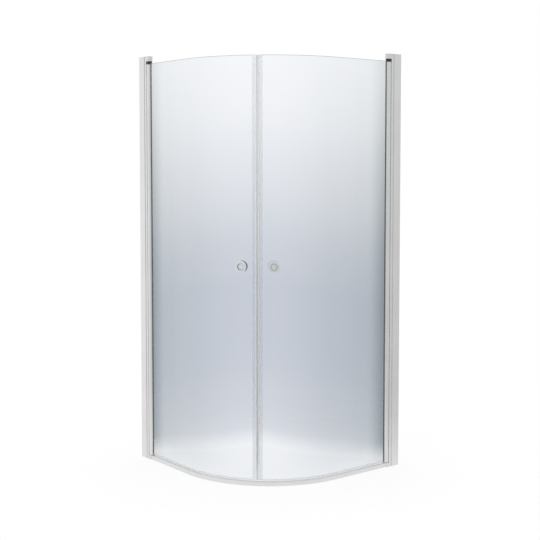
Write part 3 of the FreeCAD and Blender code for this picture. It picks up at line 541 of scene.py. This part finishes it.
def painted_shade_at(material, where):
    """How deep the glass's painted shade is, from 0 to 1, at the height of a place."""
    up = node(material, "SeparateXYZ", Vector=where).outputs["Z"]
    level = node(material, "MapRange", Value=up, From_Min=glass_low.z, From_Max=glass_high.z)
    return ramp(material, level.outputs[0], PAINTED_SHADE_BY_HEIGHT)


def magnet_finish():
    """Speckled core and sleeve, told apart by |x + y| / sqrt(2), the distance from the seam."""
    material, shader = finish("magnet_strip", Roughness=0.5)
    where = node(material, "TexCoord").outputs["Object"]
    painted_shade = painted_shade_at(material, where)
    core = blend(material, painted_shade, PALE_CORE, CORE_IN_PAINTED_SHADE)
    sleeve = blend(material, painted_shade, PALE_SLEEVE, SLEEVE_IN_PAINTED_SHADE)
    offset = worked(material, "VectorMath", "DOT_PRODUCT", where, ACROSS_SEAM)
    away = worked(material, "Math", "ABSOLUTE", offset)
    outside = eased(material, away, CORE_EDGE - CORE_SOFT, CORE_EDGE + CORE_SOFT)
    speck = grain(material, where, EVEN, MAGNET_SCALE)
    tone = between(material, speck, *CORE_TONE)
    body = worked(material, "VectorMath", "MULTIPLY", blend(material, outside, core, sleeve), tone)
    feed(material, body, shader.inputs["Base Color"])
    bump(material, shader, speck, SPECK_DEPTH, SPECK_STRENGTH)
    return material


magnet = magnet_finish()
print(f"magnet core reaches {CORE_EDGE * 1000:.1f} mm from the seam")

# %% Walls seen edge on
# Painted highlight and shade: the pale corner colour stands for the highlight on the chamber's
# bends, and the deeper colours darken both walls by height with the glass's painted shade.
CORNER_PAINTED_HIGHLIGHT = (0.97, 0.975, 0.98, 1)
CORNER_HIGHLIGHT_IN_PAINTED_SHADE = (0.88, 0.89, 0.90, 1)
PALE_WALL = (0.70, 0.735, 0.765, 1)
SEAM_WALL_IN_PAINTED_SHADE = (0.32, 0.355, 0.385, 1)
CORNER_COVER = 0.7
WALL_COVER = 0.35
HAZE_TONE = (0.96, 1.0)


def plastic_with_painted_shade(name, pale, deep, cover):
    """Plastic seen edge on: covers a share of what is behind it, with painted shade by height."""
    material, shader = finish(name, IOR=PLASTIC_IOR, Roughness=0.4, Alpha=cover)
    where = node(material, "TexCoord").outputs["Object"]
    haze = grain(material, where, HAZE_STRETCH, HAZE_SCALE)
    tone = between(material, haze, *HAZE_TONE)
    body = blend(material, painted_shade_at(material, where), pale, deep)
    body = worked(material, "VectorMath", "MULTIPLY", body, tone)
    feed(material, body, shader.inputs["Base Color"])
    return material


highlight_painted_corner = plastic_with_painted_shade("corner_plastic_painted_highlight", CORNER_PAINTED_HIGHLIGHT, CORNER_HIGHLIGHT_IN_PAINTED_SHADE, CORNER_COVER)
seam_wall_painted_shade = plastic_with_painted_shade("seam_plastic_painted_shade", PALE_WALL, SEAM_WALL_IN_PAINTED_SHADE, WALL_COVER)
print("walls seen edge on:", highlight_painted_corner.name, "and", seam_wall_painted_shade.name)

# %% [markdown]
# ## Dress the frame's own nodes
#
# Profiles, posts, blocks, pins, screws and knobs are hard pieces whose frame shape is already
# right. They could be made again as surfaces, but that would only add a second shape to keep
# true. So they stay, and each takes a finish by its name. The panes, strips and sill take one
# too, although the surfaces made below stand for them, and the knobs stay plain steel until
# their place on the glass is known.

# %% A finish for every node
FINISHES = {
    "wall_profile": upright_metal,
    "hinge_post": upright_metal,
    "hinge_barrel": upright_metal,
    "curved_sill": sill_metal,
    "bottom_hinge_block": sprayed,
    "top_hinge_block": sprayed,
    "profile_cap": sprayed,
    "clamp_screws": steel,
    "block_screws": steel,
    "upper_pivot_pin": steel,
    "lower_pivot_pin": steel,
    "pin_clip": steel,
    "knob_stud": steel,
    "outer_knob": steel,
    "inner_knob": steel,
    "top_bush": acetal,
    "ramp_ring": acetal,
    "rising_cam": acetal,
    "barrel_plug": collar,
    "glass_gasket": gasket,
    "barrel_seal": seal,
    "magnet": magnet,
    "closing_strip": clear_strip,
    "knob_washers": clear_strip,
    "bottom_wiper": clear_wiper,
    "curved_glass": clear_glass,
}
for name, item in nodes.items():
    kind = name.removesuffix("_right").removesuffix("_left")
    item.data.materials.clear()
    item.data.materials.append(FINISHES[kind])
print("dressed", len(nodes), "nodes in", len(set(FINISHES.values())), "finishes")

# %% [markdown]
# ## The layout of a pane
#
# A pane is a sheet of glass, bent to the front's line, with a round hole for the knob's stud. A
# Boolean could cut the hole, but it leaves long thin faces that show in the glass. Here a grid
# covers the sheet except for a square round the hole, and rings of points pass from the square's
# edge to the circle. So the hole is truly round and no quad is thin.

# %% Grid lines of a pane
GLASS_FROM_SEAM = 0.0061
KNOB_HEIGHT = 1.000
KNOB_FROM_SEAM = 0.074
HOLE_RADIUS = 0.006
HOLE_SQUARE = 0.020
HOLE_CELLS = 8
HOLE_RINGS = 4
STEP_ALONG = 0.012
STEP_UP = 0.06

pane_start = hinge[1] - glass_high.y
pane_end = seam_at - radius * np.arcsin(GLASS_FROM_SEAM / radius)
knob_at = seam_at - KNOB_FROM_SEAM
knob_spot = np.array([knob_at, KNOB_HEIGHT])


def split(low, high, step):
    """Evenly spaced numbers from low to high, no further apart than step."""
    return np.linspace(low, high, max(2, int(np.ceil((high - low) / step)) + 1))


def lines(low, high, middle, step):
    """Grid lines from low to high, evenly spaced, with finer ones across the square at middle."""
    square = np.linspace(-HOLE_SQUARE, HOLE_SQUARE, HOLE_CELLS + 1)[1:-1]
    before = split(low, middle - HOLE_SQUARE, step)
    after = split(middle + HOLE_SQUARE, high, step)
    return np.concatenate([before, middle + square, after])


print(f"pane: {pane_end - pane_start:.3f} m along the bend, its knob at {knob_at:.3f} m")

# %% Lay out a pane


def hole_rings():
    """Rings from a square's edge in to a circle: (1 - s) * square + s * circle, s from 0 to 1."""
    edge = np.linspace(-1, 1, HOLE_CELLS + 1)[:-1]
    unit = np.ones(HOLE_CELLS)
    borders = ((edge, -unit), (unit, edge), (-edge, unit), (-unit, -edge))
    square = HOLE_SQUARE * np.concatenate([np.stack(pair, axis=1) for pair in borders])
    circle = square / np.linalg.norm(square, axis=1, keepdims=True) * HOLE_RADIUS
    share = np.linspace(0, 1, HOLE_RINGS + 1)[:, None, None]
    return (1 - share) * square + share * circle


def flat_pane():
    """Points (along, up) and quads of the sheet laid flat: a grid less its square, and rings."""
    columns = lines(pane_start, pane_end, knob_at, STEP_ALONG)
    rows = lines(glass_low.z, glass_high.z, KNOB_HEIGHT, STEP_UP)
    sheet = np.stack(np.meshgrid(columns, rows), axis=-1).reshape(-1, 2)
    cells = quads(len(rows), len(columns))
    outside = np.abs(sheet[cells].mean(axis=1) - knob_spot) > HOLE_SQUARE
    rings = knob_spot + hole_rings()
    ring_cells = quads(*rings.shape[:2], wrap=True, first=len(sheet))
    cells = np.concatenate([cells[outside.any(axis=1)], ring_cells])
    used, renumbered = np.unique(cells, return_inverse=True)
    points = np.concatenate([sheet, rings.reshape(-1, 2)])[used]
    return points, renumbered.reshape(-1, 4)


print(f"flat pane: {len(flat_pane()[1])} quads")

# %% [markdown]
# ## The panes
#
# The flat sheet is bent by sending each point to the front's line at its own height. Weld joins
# the rings to the grid, Solidify gives the sheet the thickness of the glass, and a small bevel
# gives it the ground edge of real glass. Two offset sheets with a rim would do the same by hand,
# but the modifiers keep the sheet simple and the rim on its own material.

# %% Make the panes
EDGE_BEVEL = 0.001
BEVEL_STEPS = 2
WELD_REACH = 1e-5
RIM_SLOT = 1


def pane(side):
    """Sheet of glass: each flat point (along, up) goes to front(along) at the height up."""
    flat, faces = flat_pane()
    x, y = front(flat[:, 0])
    points = np.stack([x, y, flat[:, 1]], axis=1)
    size = (pane_end - pane_start, glass_high.z - glass_low.z)
    place = (flat - (pane_start, glass_low.z)) / size
    left = side == "left"
    points = mirrored(points) if left else points
    return make_mesh(f"glass_pane_{side}", points, faces, place, flip=left)


def thicken(sheet):
    """Join the sheet's rings, give it half the glass's thickness to each side, grind its rim."""
    weld = sheet.modifiers.new("weld", "WELD")
    weld.merge_threshold = WELD_REACH
    thick = sheet.modifiers.new("thickness", "SOLIDIFY")
    thick.thickness = GLASS
    thick.offset = 0.0
    thick.material_offset_rim = RIM_SLOT
    ground = sheet.modifiers.new("ground_edge", "BEVEL")
    ground.width = EDGE_BEVEL
    ground.segments = BEVEL_STEPS
    ground.harden_normals = True
    ground.material = RIM_SLOT


for side in SIDES:
    sheet = pane(side)
    thicken(sheet)
    settle(sheet, clear_glass, f"door_{side}", "clear_glass", f"curved_glass_{side}")
    sheet.data.materials.append(glass_edge)
print(f"panes: {glass_high.z - glass_low.z:.3f} m high, {GLASS * 1000:.0f} mm thick")

# %% [markdown]
# ## The knobs
#
# Each knob is a turned and plated disc with a cup for the finger. Turning leaves rings as fine as
# hair. A narrow ring round the cup's floor is painted near black: painted shade where the cup's
# wall shades the groove. The rings could be modelled, but they are far finer than any mesh. Both
# follow the distance from the knob's axis, so a Mapping node puts the axis where the stud is, and
# the pattern reads that distance. The left knobs mirror the right ones.

# %% Finish the knobs
CUP_WALL = 0.01376
CUP_WALL_HALF = 0.00080
PLATED = (0.775, 0.80, 0.825, 1)
PLATED_DULL = (0.825, 0.85, 0.875, 1)
# Painted shade: the near black ring in the groove round the cup's floor stands for the shade
# there.
PAINTED_GROOVE_SHADE = (0.06, 0.06, 0.062, 1)
RING_SCALE = 2400.0
RING_DEPTH = 0.000003
RING_STRENGTH = 0.4
RING_ROUGHNESS = (0.10, 0.20)
ACROSS_AXIS = (0, 1, 1)

knob_turn = (knob_at - straight) / radius
knob_x, knob_y = front(knob_at)
knob_axes = {
    "right": (knob_x, knob_y, -knob_turn),
    "left": (-knob_y, -knob_x, knob_turn - np.pi / 2),
}


def plated_knob(side):
    """Satin plating, turned rings and painted groove shade; all read r, the distance from the
    knob's axis.
    """
    x, y, turn = knob_axes[side]
    material, shader = finish(f"plated_knob_{side}", Metallic=1.0)
    where = node(material, "Mapping", Vector=node(material, "TexCoord").outputs["Object"],
                 Location=(x, y, KNOB_HEIGHT), Rotation=(0, 0, turn))
    where.vector_type = "TEXTURE"
    across = worked(material, "VectorMath", "MULTIPLY", where.outputs[0], ACROSS_AXIS)
    reach = worked(material, "VectorMath", "LENGTH", across)
    rings = node(material, "TexNoise", Scale=RING_SCALE, Detail=2.0)
    rings.noise_dimensions = "1D"
    feed(material, reach, rings.inputs["W"])
    ring = rings.outputs["Fac"]
    # The groove ring is painted shade, not a colour of the plating.
    groove = worked(material, "Math", "COMPARE", reach, CUP_WALL, CUP_WALL_HALF)
    plating = blend(material, ring, PLATED, PLATED_DULL)
    feed(material, blend(material, groove, plating, PAINTED_GROOVE_SHADE), shader.inputs["Base Color"])
    feed(material, between(material, ring, *RING_ROUGHNESS), shader.inputs["Roughness"])
    bump(material, shader, ring, RING_DEPTH, RING_STRENGTH)
    return material


for side in SIDES:
    plating = plated_knob(side)
    nodes[f"outer_knob_{side}"].data.materials[0] = plating
    nodes[f"inner_knob_{side}"].data.materials[0] = plating
print(f"knobs: {KNOB_FROM_SEAM * 1000:.0f} mm from the seam, {KNOB_HEIGHT:.3f} m above the floor")

# %% [markdown]
# ## Strips bent from one ribbon
#
# The closing strips, the wipers and the sill are all thin walls of even thickness: a line drawn
# across the piece, given a thickness, and carried along or up. A curve with a bevel object could
# carry an outline too, but it turns at sharp corners and leaves its ends open. So one function
# thickens a line to a closed outline, another rounds the line's corners, and a third carries the
# outline and closes both ends.

# %% Round and thicken a line
BEND_STEPS = 7


def rounded(corners, reach):
    """A line through corners, each cut back by its reach and bridged by the parabola
    (1-t)^2 A + 2t(1-t) C + t^2 B between the cuts A and B round the corner C."""
    corners = np.asarray(corners, float)
    middle = corners[1:-1]
    before = corners[:-2] - middle
    after = corners[2:] - middle
    reach = np.asarray(reach, float)[:, None]
    start = middle + before / np.linalg.norm(before, axis=1, keepdims=True) * reach
    end = middle + after / np.linalg.norm(after, axis=1, keepdims=True) * reach
    t = np.linspace(0, 1, BEND_STEPS)[:, None]
    bends = (1 - t)**2 * start[:, None] + 2 * t * (1 - t) * middle[:, None] + t**2 * end[:, None]
    return np.concatenate([corners[:1], bends.reshape(-1, 2), corners[-1:]])


def ribbon(line, thickness):
    """Closed outline of a thin wall: the line moved half a thickness to one side, then back along
    the line moved half a thickness to the other."""
    ahead = np.gradient(line, axis=0)
    ahead /= np.linalg.norm(ahead, axis=1, keepdims=True)
    aside = np.stack([-ahead[:, 1], ahead[:, 0]], axis=1) * thickness / 2
    return np.concatenate([line + aside, (line - aside)[::-1]])


print("a rounded corner has", BEND_STEPS, "points")

# %% Carry a ribbon
MAP_WIDTH = 0.05


def capped(rows, loop, first):
    """Quads of a carried ribbon: its sides, and both ends closed by rungs between its faces."""
    rung = np.arange(loop // 2 - 1)
    cap = np.stack([rung, rung + 1, loop - 2 - rung, loop - 1 - rung], axis=1) + first
    sides = quads(rows, loop, wrap=True, first=first)
    return np.concatenate([sides, cap[:, ::-1], cap + (rows - 1) * loop])


def ribbon_map(part):
    """Where each point lies: metres along the piece, and a share of the map's width across it."""
    rows, loop = part.shape[:2]
    run, across = np.meshgrid(np.linspace(0, 1, rows), np.linspace(0, 1, loop), indexing="ij")
    return np.stack([run * whole_front, across * MAP_WIDTH], axis=-1).reshape(-1, 2)


def carried(name, parts, side):
    """One piece of several carried ribbons, turned so that the volume inside comes out positive:
    a sixth of the sum of corner . (corner x corner) over the triangles."""
    starts = np.cumsum([0] + [part[..., 0].size for part in parts])
    faces = np.concatenate([capped(*p.shape[:2], first) for p, first in zip(parts, starts)])
    points = np.concatenate([part.reshape(-1, 3) for part in parts])
    place = np.concatenate([ribbon_map(part) for part in parts])
    corner = points[faces]
    fan = np.cross(corner[:, 1], corner[:, 2]) + np.cross(corner[:, 2], corner[:, 3])
    inside_out = bool(np.sum(corner[:, 0] * fan) < 0)
    left = side == "left"
    points = mirrored(points) if left else points
    return make_mesh(name, points, faces, place, flip=inside_out != left)


print(f"map of a ribbon: {whole_front:.3f} by {MAP_WIDTH} m")

# %% [markdown]
# ## The closing strips
#
# Each strip is one clear extrusion. Two skins grip the end of the glass, and in front of them a
# chamber with rounded corners holds the magnet. The outline is drawn in two distances, out of the
# glass and away from the seam, and the path turns these into places, so the skins follow the
# bend. The strip could touch the glass, but two clear faces in the same place fight for the
# light, so it stands a hair clear. The walls that meet at the seam and the corners between
# chamber and skin take their own finishes.

# %% Draw the closing strips
SKIN = 0.0010
SKIN_CLEAR = 0.00015
STRIP_END = 0.0236
NECK_FROM_SEAM = 0.0068
CHAMBER_FROM_SEAM = 0.0052
WALL_FROM_SEAM = 0.0009
CHAMBER_OUT = 0.0045
WEB_OUT = 0.0034
WEB_FROM_SEAM = 0.00545
WEB_STEPS = 3
SKIN_BEND = 0.0008
CHAMBER_BEND = 0.0015

strip_low, strip_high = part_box("closing_strip_right")
skin_out = GLASS / 2 + SKIN_CLEAR + SKIN / 2


def upright(outline):
    """An outline of (out of the glass, away from the seam) carried from the foot to the top."""
    x, y = front(seam_at - outline[:, 1], outline[:, 0])
    foot = np.stack([x, y, np.full(len(x), strip_low.z)], axis=-1)
    top = np.stack([x, y, np.full(len(x), strip_high.z)], axis=-1)
    return np.stack([foot, top])


def closing_strip(side):
    """A ribbon down one skin, round the chamber and up the other skin, with a web behind it."""
    half = [(skin_out, STRIP_END), (skin_out, NECK_FROM_SEAM),
            (CHAMBER_OUT, CHAMBER_FROM_SEAM), (CHAMBER_OUT, WALL_FROM_SEAM)]
    wall = half + [(-out, away) for out, away in half[::-1]]
    bends = (SKIN_BEND, SKIN_BEND, CHAMBER_BEND, CHAMBER_BEND, SKIN_BEND, SKIN_BEND)
    shell = ribbon(rounded(wall, bends), SKIN)
    line = np.linspace((WEB_OUT, WEB_FROM_SEAM), (-WEB_OUT, WEB_FROM_SEAM), WEB_STEPS)
    web = ribbon(line, SKIN)
    return carried(f"clear_closing_strip_{side}", [upright(shell), upright(web)], side)


print(f"closing strip: reaches {STRIP_END * 1000:.1f} mm from the seam")

# %% Make the closing strips
SEAM_WALL = 0.0012
CORNER_NEAR = 0.0043
CORNER_FAR = 0.0078
SKIN_SLOT = 0
WALL_SLOT = 1
CORNER_SLOT = 2


def mark_walls(strip):
    """Faces whose middle lies next to the plane x + y = 0 take the second finish, and those at
    the corners between chamber and skin take the third."""
    middle = np.empty(3 * len(strip.data.polygons), np.float32)
    strip.data.polygons.foreach_get("center", middle)
    away = np.abs(middle[0::3] + middle[1::3]) / np.sqrt(2)
    at_corner = (away > CORNER_NEAR) & (away < CORNER_FAR)
    number = np.select([away < SEAM_WALL, at_corner], [WALL_SLOT, CORNER_SLOT], SKIN_SLOT)
    strip.data.polygons.foreach_set("material_index", number.astype(np.int32))


for side in SIDES:
    strip = closing_strip(side)
    settle(strip, clear_strip, f"door_{side}", "clear_strip", f"closing_strip_{side}")
    strip.data.materials.append(seam_wall_painted_shade)
    strip.data.materials.append(highlight_painted_corner)
    mark_walls(strip)
print(f"closing strips: {strip_high.z - strip_low.z:.3f} m high")

# %% [markdown]
# ## The wipers under the glass
#
# A clear channel is pushed over the lower edge of each pane, and a thin lip hangs from it to keep
# the water in. A straight extrusion could be bent with a modifier, but the same ribbon, drawn in
# distances out of the glass and up, follows the path by itself. A second, slanting ribbon makes
# the lip.

# %% Make the wipers
WIPER_FROM_SEAM = 0.0241
WIPER_BEND = 0.0010
LIP_TOP = -0.0022
LIP_FOOT = -0.0034
LIP_STEPS = 5

wiper_low, wiper_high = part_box("bottom_wiper_right")
wiper_run = split(hinge[1] - wiper_high.y, seam_at - WIPER_FROM_SEAM, STEP_ALONG)


def along_front(outline, run):
    """An outline of (out of the glass, height) carried along the front over a run of distances."""
    x, y = front(run, outline[:, 0])
    return np.stack([x, y, np.broadcast_to(outline[:, 1], x.shape)], axis=-1)


def wiper(side):
    """A channel round the lower edge of the glass, and a slanting lip under it."""
    top = wiper_high.z
    foot = glass_low.z - SKIN_CLEAR - SKIN / 2
    wall = [(skin_out, top), (skin_out, foot), (-skin_out, foot), (-skin_out, top)]
    channel = ribbon(rounded(wall, (WIPER_BEND, WIPER_BEND)), SKIN)
    slant = np.linspace((LIP_TOP, foot - SKIN / 2), (LIP_FOOT, wiper_low.z), LIP_STEPS)
    lip = ribbon(slant, SKIN)
    parts = [along_front(outline, wiper_run[:, None]) for outline in (channel, lip)]
    return carried(f"clear_wiper_{side}", parts, side)


for side in SIDES:
    settle(wiper(side), clear_wiper, f"door_{side}", "clear_strip", f"bottom_wiper_{side}")
print(f"wipers: {wiper_run[-1] - wiper_run[0]:.3f} m long")

# %% [markdown]
# ## The sill
#
# One aluminium channel is bent to the front and lies on the floor from foot to foot. Its ends are
# hollowed to fit round the hinge blocks. A Boolean could cut them, but the fit has a plain
# formula: a line of the section that lies further from the middle of the block starts closer to
# it, as the half chord of the block's circle does.

# %% Make the sill
SILL_WALL = 0.0025
SILL_FRONT = 0.010
SILL_BACK = -0.014
SILL_HEIGHT = 0.020
SILL_END_RADIUS = 0.0153
SILL_BENDS = (0.004, 0.002)
SILL_STEPS = 140


def sill():
    """Channel carried from hinge to hinge; each line starts sqrt(r^2 - out^2) from the hinge."""
    half = SILL_WALL / 2
    top = SILL_HEIGHT - half
    outer = SILL_FRONT - half
    inner = SILL_BACK + half
    wall = [(outer, 0), (outer, top), (inner, top), (inner, 0)]
    outline = ribbon(rounded(wall, SILL_BENDS), SILL_WALL)
    start = np.sqrt(np.clip(SILL_END_RADIUS**2 - outline[:, 0]**2, 0, None))
    share = np.linspace(0, 1, SILL_STEPS)[:, None]
    run = start + share * (whole_front - 2 * start)
    return carried("bent_sill", [along_front(outline, run)], "right")


settle(sill(), sill_metal, "frame", "sill_aluminium", "curved_sill")
print(f"sill: {whole_front:.3f} m along the bend, {SILL_HEIGHT * 1000:.0f} mm high")

# %% [markdown]
# ## The floor
#
# The object stands alone on white, so the floor is pale and fades out before it ends. More light
# could make it white, but that would bleach the object too. So the floor glows a little for rays
# that come from the camera, through glass or off metal, and keeps the soft shadow of the object
# in the rest.

# %% Floor finish
WHITE = (1, 1, 1, 1)
FLOOR_COLOUR = (0.93, 0.93, 0.93, 1)
FLOOR_WHITE = 0.88
FADE_START = 0.6
FADE_END = 1.6

floor_material, floor_shader = finish("pale_floor", Base_Color=FLOOR_COLOUR, Roughness=0.9)
seen = rays(floor_material, "Is Camera Ray", "Is Transmission Ray", "Is Glossy Ray")
white = node(floor_material, "Emission", Color=WHITE, Strength=1.0)
pale = mixed(floor_material, between(floor_material, seen, 0.0, FLOOR_WHITE), floor_shader, white)
from_middle = worked(floor_material, "VectorMath", "LENGTH",
                     node(floor_material, "TexCoord").outputs["Object"])
faded = mixed(floor_material, eased(floor_material, from_middle, FADE_START, FADE_END), pale,
              node(floor_material, "BsdfTransparent"))
show(floor_material, faded)
print(f"floor finish: gone {FADE_END:.1f} m from the middle")

# %% Floor
FLOOR_HALF = 2.0
FLOOR_LEVEL = -0.0005

ends = np.array([-FLOOR_HALF, FLOOR_HALF])
floor_x, floor_y = np.meshgrid(ends, ends)
floor_points = np.stack([floor_x, floor_y, np.full((2, 2), FLOOR_LEVEL)], axis=-1).reshape(-1, 3)
floor = make_mesh("floor", floor_points, quads(2, 2), floor_points[:, :2])
floor.data.materials.append(floor_material)
print(f"floor: {2 * FLOOR_HALF:.0f} m wide")

# %% [markdown]
# ## The sky
#
# Metal is only as good as what it mirrors. The sky is white towards the background and a soft
# grey on the camera's side, a little lighter higher up, as a white studio with a dim end is. An
# image of a studio could light it, but two smooth steps over the direction are enough. The
# camera, and rays through glass, meet plain white, so the background is even on every side.

# %% Sky
BACKGROUND_WAY = (-0.995, 0.1, 0.0)
DIM_LOW = 0.66
DIM_HIGH = 0.86
DIM_BAND = (-0.03, 0.16)
WHITE_BAND = (-0.9, 0.65)

world = bpy.data.worlds.new("studio")
bpy.context.scene.world = world
world.use_nodes = True
way = node(world, "TexCoord").outputs["Generated"]
up = node(world, "SeparateXYZ", Vector=way).outputs["Z"]
dim = eased(world, up, *DIM_BAND, DIM_LOW, DIM_HIGH)
behind = worked(world, "VectorMath", "DOT_PRODUCT", way, BACKGROUND_WAY)
studio = node(world, "Background", Color=eased(world, behind, *WHITE_BAND, dim, 1.0))
plain = node(world, "Background", Color=WHITE)
sky = mixed(world, rays(world, "Is Camera Ray", "Is Transmission Ray"), studio, plain)
show(world, sky)
print(f"sky: white behind the object, {DIM_LOW} to {DIM_HIGH} on the camera's side")

# %% [markdown]
# ## Two softboxes
#
# The sky alone lights everything from all sides. A large soft lamp on the left and a weaker one
# on the right give the blocks and gaskets a lit and a shaded side. Small lamps would do it with
# hard shadows, and a sun would reach under the sill. The boxes themselves stay out of mirrors and
# glass, where they would show as bright squares.

# %% Lamps
BOX_WIDTH = 2.6
KEY_PLACE = (-0.6, -4.6, 3.2)
KEY_POWER = 50
FILL_PLACE = (4.6, 1.2, 2.6)
FILL_POWER = 25

target = (cad_low + cad_high) / 2


def softbox(name, place, power):
    """Square area lamp that looks at the middle of the object."""
    light = bpy.data.lights.new(name, "AREA")
    light.size = BOX_WIDTH
    light.energy = power
    lamp = bpy.data.objects.new(name, light)
    lamp.location = place
    lamp.rotation_euler = (target - Vector(place)).to_track_quat("-Z", "Y").to_euler()
    lamp.visible_glossy = False
    lamp.visible_transmission = False
    bpy.context.scene.collection.objects.link(lamp)
    return lamp


lamps = (softbox("key", KEY_PLACE, KEY_POWER), softbox("fill", FILL_PLACE, FILL_POWER))
print("lamps:", {lamp.name: lamp.data.energy for lamp in lamps})

# %% [markdown]
# ## The camera
#
# The photograph shows the uprights parallel, so its camera stood level and far away. The place
# and lens follow from the profiles, the foot of the sill and the top of the glass: about 5 m off,
# above mid height, a little right of the diagonal. A level camera with a large vertical shift
# would keep the uprights exactly parallel. A small shift and a slight tilt come close, and also
# suit views from other sides.

# %% Camera
CAMERA_PLACE = (4.0874, -3.2196, 1.4807)
CAMERA_YAW = 2.4728
CAMERA_PITCH = -0.0626
CAMERA_LENS = 71.36
CAMERA_SHIFT = -0.08

camera_data = bpy.data.cameras.new("camera")
camera_data.lens = CAMERA_LENS
camera_data.shift_y = CAMERA_SHIFT
camera = bpy.data.objects.new("camera", camera_data)
camera.location = CAMERA_PLACE
level_share = np.cos(CAMERA_PITCH)
aim = Vector((np.cos(CAMERA_YAW) * level_share, np.sin(CAMERA_YAW) * level_share,
              np.sin(CAMERA_PITCH)))
camera.rotation_euler = aim.to_track_quat("-Z", "Y").to_euler()
bpy.context.scene.collection.objects.link(camera)
bpy.context.scene.camera = camera
bpy.context.scene.view_settings.view_transform = "Standard"
print(f"camera: {(Vector(CAMERA_PLACE) - target).length:.2f} m from the middle of the object")
